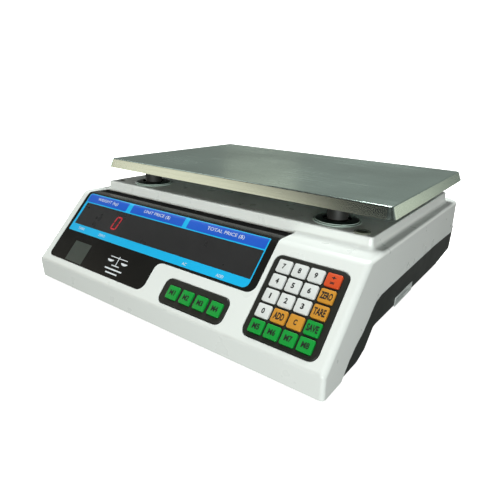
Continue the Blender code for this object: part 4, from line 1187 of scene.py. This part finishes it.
def make_label():
    face = SIDE - BASE_INSET + GAP
    bm = bmesh.new()
    add_prism(bm, rectangle(LABEL_Y, LABEL_Z, 1.0), face, face + 0.35, along_x)
    add_piece(bm, "label", "label", "root", "label_silver", "rating_label")
    y = LABEL_Y[0] + 3.0
    for i, (length, z) in enumerate(((30.0, 28.4), (36.0, 26.4), (22.0, 24.4))):
        bm = bmesh.new()
        add_prism(bm, rectangle((y, y + length), (z - 0.4, z + 0.4)), face + 0.33, face + 0.38, along_x)
        add_piece(bm, "label_bar_%d" % (i + 1), "label_ink", "root", "label_silver")


INSIDE = {
    "board": ("display_board", "main_board", "keypad_board", "rear_display_board"),
    "module": ("led_weight", "led_unit_price", "led_total_price"),
    "aluminium": ("load_cell", "platter_frame"),
    "plain_steel": ("load_cell_mount",),
    "battery": ("battery",),
    "core": ("transformer",),
}


def dress_inside():
    for look, names in INSIDE.items():
        for name in names:
            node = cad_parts[name]
            node.data.materials.clear()
            node.data.materials.append(LOOKS[look])


# --- stage ---


FLOOR_HALF = 6000.0
FLOOR_DROP = -0.0002  # metres, so that it stays clear of the feet
BACKDROP_RADIUS = 5500.0
STAGE_TONE = (0.9, 0.9, 0.9)
STAGE_GLOW = 1.0
WORLD_STRENGTH = 0.5
# (height, tone): height runs from 0 straight down to 1 straight up
SKY = ((0.0, 0.06), (1.0, 0.1), (0.5, 0.4), (0.64, 0.66), (0.76, 0.12))
COOL = (0.96, 1.0, 0.975)
WARM = (1.0, 0.92, 0.76)
WARMER = (1.0, 0.85, 0.68)
LIGHTS_AIM = (0.0, -0.05, 0.06)
LIGHTS = (  # name, place and size in metres, power, colour
    ("over", (0.0, 0.75, 1.8), (0.9, 0.9), 46.0, COOL),
    ("front_low", (1.1, -1.68, 0.15), (1.2, 0.22), 36.0, COOL),
    ("front_left", (-1.2, -1.35, 0.6), (1.2, 0.7), 3.5, WARMER),
    ("left_high", (-1.3, -0.05, 1.5), (0.7, 0.7), 3.0, COOL),
    ("left_low", (-2.0, 0.15, 0.35), (1.0, 0.6), 9.0, COOL),
    ("back_right", (1.2, 1.45, 0.36), (1.2, 0.6), 2.0, WARM),
    ("back_left", (-1.1, 1.6, 0.72), (0.4, 0.3), 0.24, WARM),
)
FRONT_DIM = 0.2  # how much of the sky's tone is left towards the front
FRONT_FADE = (-0.3, 0.4)  # depth where the sky is dimmest, and where it is whole


def stage_material(name):
    made, tree, shader = nodes_of(name)
    tree.links.new(shaded(tree, noise(tree, 3.0), STAGE_TONE, 0.01), shader.inputs["Base Color"])
    white = (1.0, 1.0, 1.0, 1.0)
    fill(shader, {"Roughness": 0.9, "Emission Color": white, "Emission Strength": STAGE_GLOW})
    return made


def make_stage():
    bm = bmesh.new()
    bmesh.ops.create_grid(bm, x_segments=1, y_segments=1, size=FLOOR_HALF)
    floor = finish(bm, "floor", stage_material("floor_white"))
    floor.location.z = FLOOR_DROP
    floor.visible_diffuse = False
    floor.visible_glossy = False
    bm = bmesh.new()
    bmesh.ops.create_icosphere(bm, subdivisions=4, radius=BACKDROP_RADIUS)
    backdrop = finish(bm, "backdrop", stage_material("backdrop_white"))
    backdrop.visible_diffuse = False
    backdrop.visible_glossy = False
    backdrop.visible_transmission = False
    backdrop.visible_shadow = False


def make_lights():
    for name, place, size, power, colour in LIGHTS:
        data = bpy.data.lights.new(name, "AREA")
        data.shape = "RECTANGLE"
        data.size, data.size_y = size
        data.energy = power
        data.color = colour
        light = linked(name, data)
        light.location = place
        light.rotation_euler = (Vector(LIGHTS_AIM) - Vector(place)).to_track_quat("-Z", "Y").to_euler()


def make_world():
    world = bpy.data.worlds.new("studio")
    bpy.context.scene.world = world
    world.use_nodes = True
    tree = world.node_tree
    background = tree.nodes["Background"]
    place = tree.nodes.new("ShaderNodeTexCoord")
    split = tree.nodes.new("ShaderNodeSeparateXYZ")
    ramp = tree.nodes.new("ShaderNodeValToRGB")
    for element, (height, tone) in zip(ramp.color_ramp.elements, SKY[:2]):
        element.position = height
        element.color = (tone, tone * 1.03, tone, 1.0)
    for height, tone in SKY[2:]:
        ramp.color_ramp.elements.new(height).color = (tone, tone * 1.03, tone, 1.0)
    tree.links.new(place.outputs["Generated"], split.inputs["Vector"])
    tree.links.new(ranged(tree, split.outputs["Z"], 0.0, 1.0, -1.0, 1.0), ramp.inputs["Fac"])
    dimmed = tree.nodes.new("ShaderNodeVectorMath")
    dimmed.operation = "SCALE"
    tree.links.new(ramp.outputs["Color"], dimmed.inputs[0])
    tree.links.new(ranged(tree, split.outputs["Y"], FRONT_DIM, 1.0, *FRONT_FADE), dimmed.inputs["Scale"])
    tree.links.new(dimmed.outputs["Vector"], background.inputs["Color"])
    background.inputs["Strength"].default_value = WORLD_STRENGTH


CAMERA_AT = (0.2765, -0.41, 0.2049)
CAMERA_YAW = -35.526
CAMERA_PITCH = 19.958
CAMERA_ROLL = 1.884
LENS_MM = 31.89


def make_camera():
    data = bpy.data.cameras.new("camera")
    data.lens = LENS_MM
    data.sensor_width = 36.0
    data.clip_start = 0.01
    camera = linked("camera", data)
    yaw, pitch, roll = (math.radians(a) for a in (CAMERA_YAW, CAMERA_PITCH, CAMERA_ROLL))
    ahead = Vector((math.sin(yaw) * math.cos(pitch), math.cos(yaw) * math.cos(pitch), -math.sin(pitch)))
    right = Vector((math.cos(yaw), -math.sin(yaw), 0.0))
    up = right.cross(ahead)
    rolled_right = right * math.cos(roll) + up * math.sin(roll)
    rolled_up = up * math.cos(roll) - right * math.sin(roll)
    turn = Matrix((rolled_right, rolled_up, -ahead)).transposed().to_4x4()
    camera.matrix_world = Matrix.Translation(CAMERA_AT) @ turn
    bpy.context.scene.camera = camera


def main():
    make_camera()
    make_stage()
    make_lights()
    make_world()
    make_cover()
    make_base()
    make_skirts()
    make_lens()
    make_groove_shade_strip()
    make_prints()
    make_pictogram()
    make_digits()
    make_pad("keypad_sheet", "keypad_bezel", KEYPAD, KEYPAD_ROWS)
    make_pad("memory_sheet", "memory_bezel", MEMORY_PAD, MEMORY_ROWS)
    make_rear_display()
    make_platter()
    make_cups()
    make_level()
    make_deck_screws()
    make_feet()
    make_battery_door()
    make_power_entry()
    make_label()
    dress_inside()
    bpy.context.scene.view_settings.view_transform = "Standard"


main()
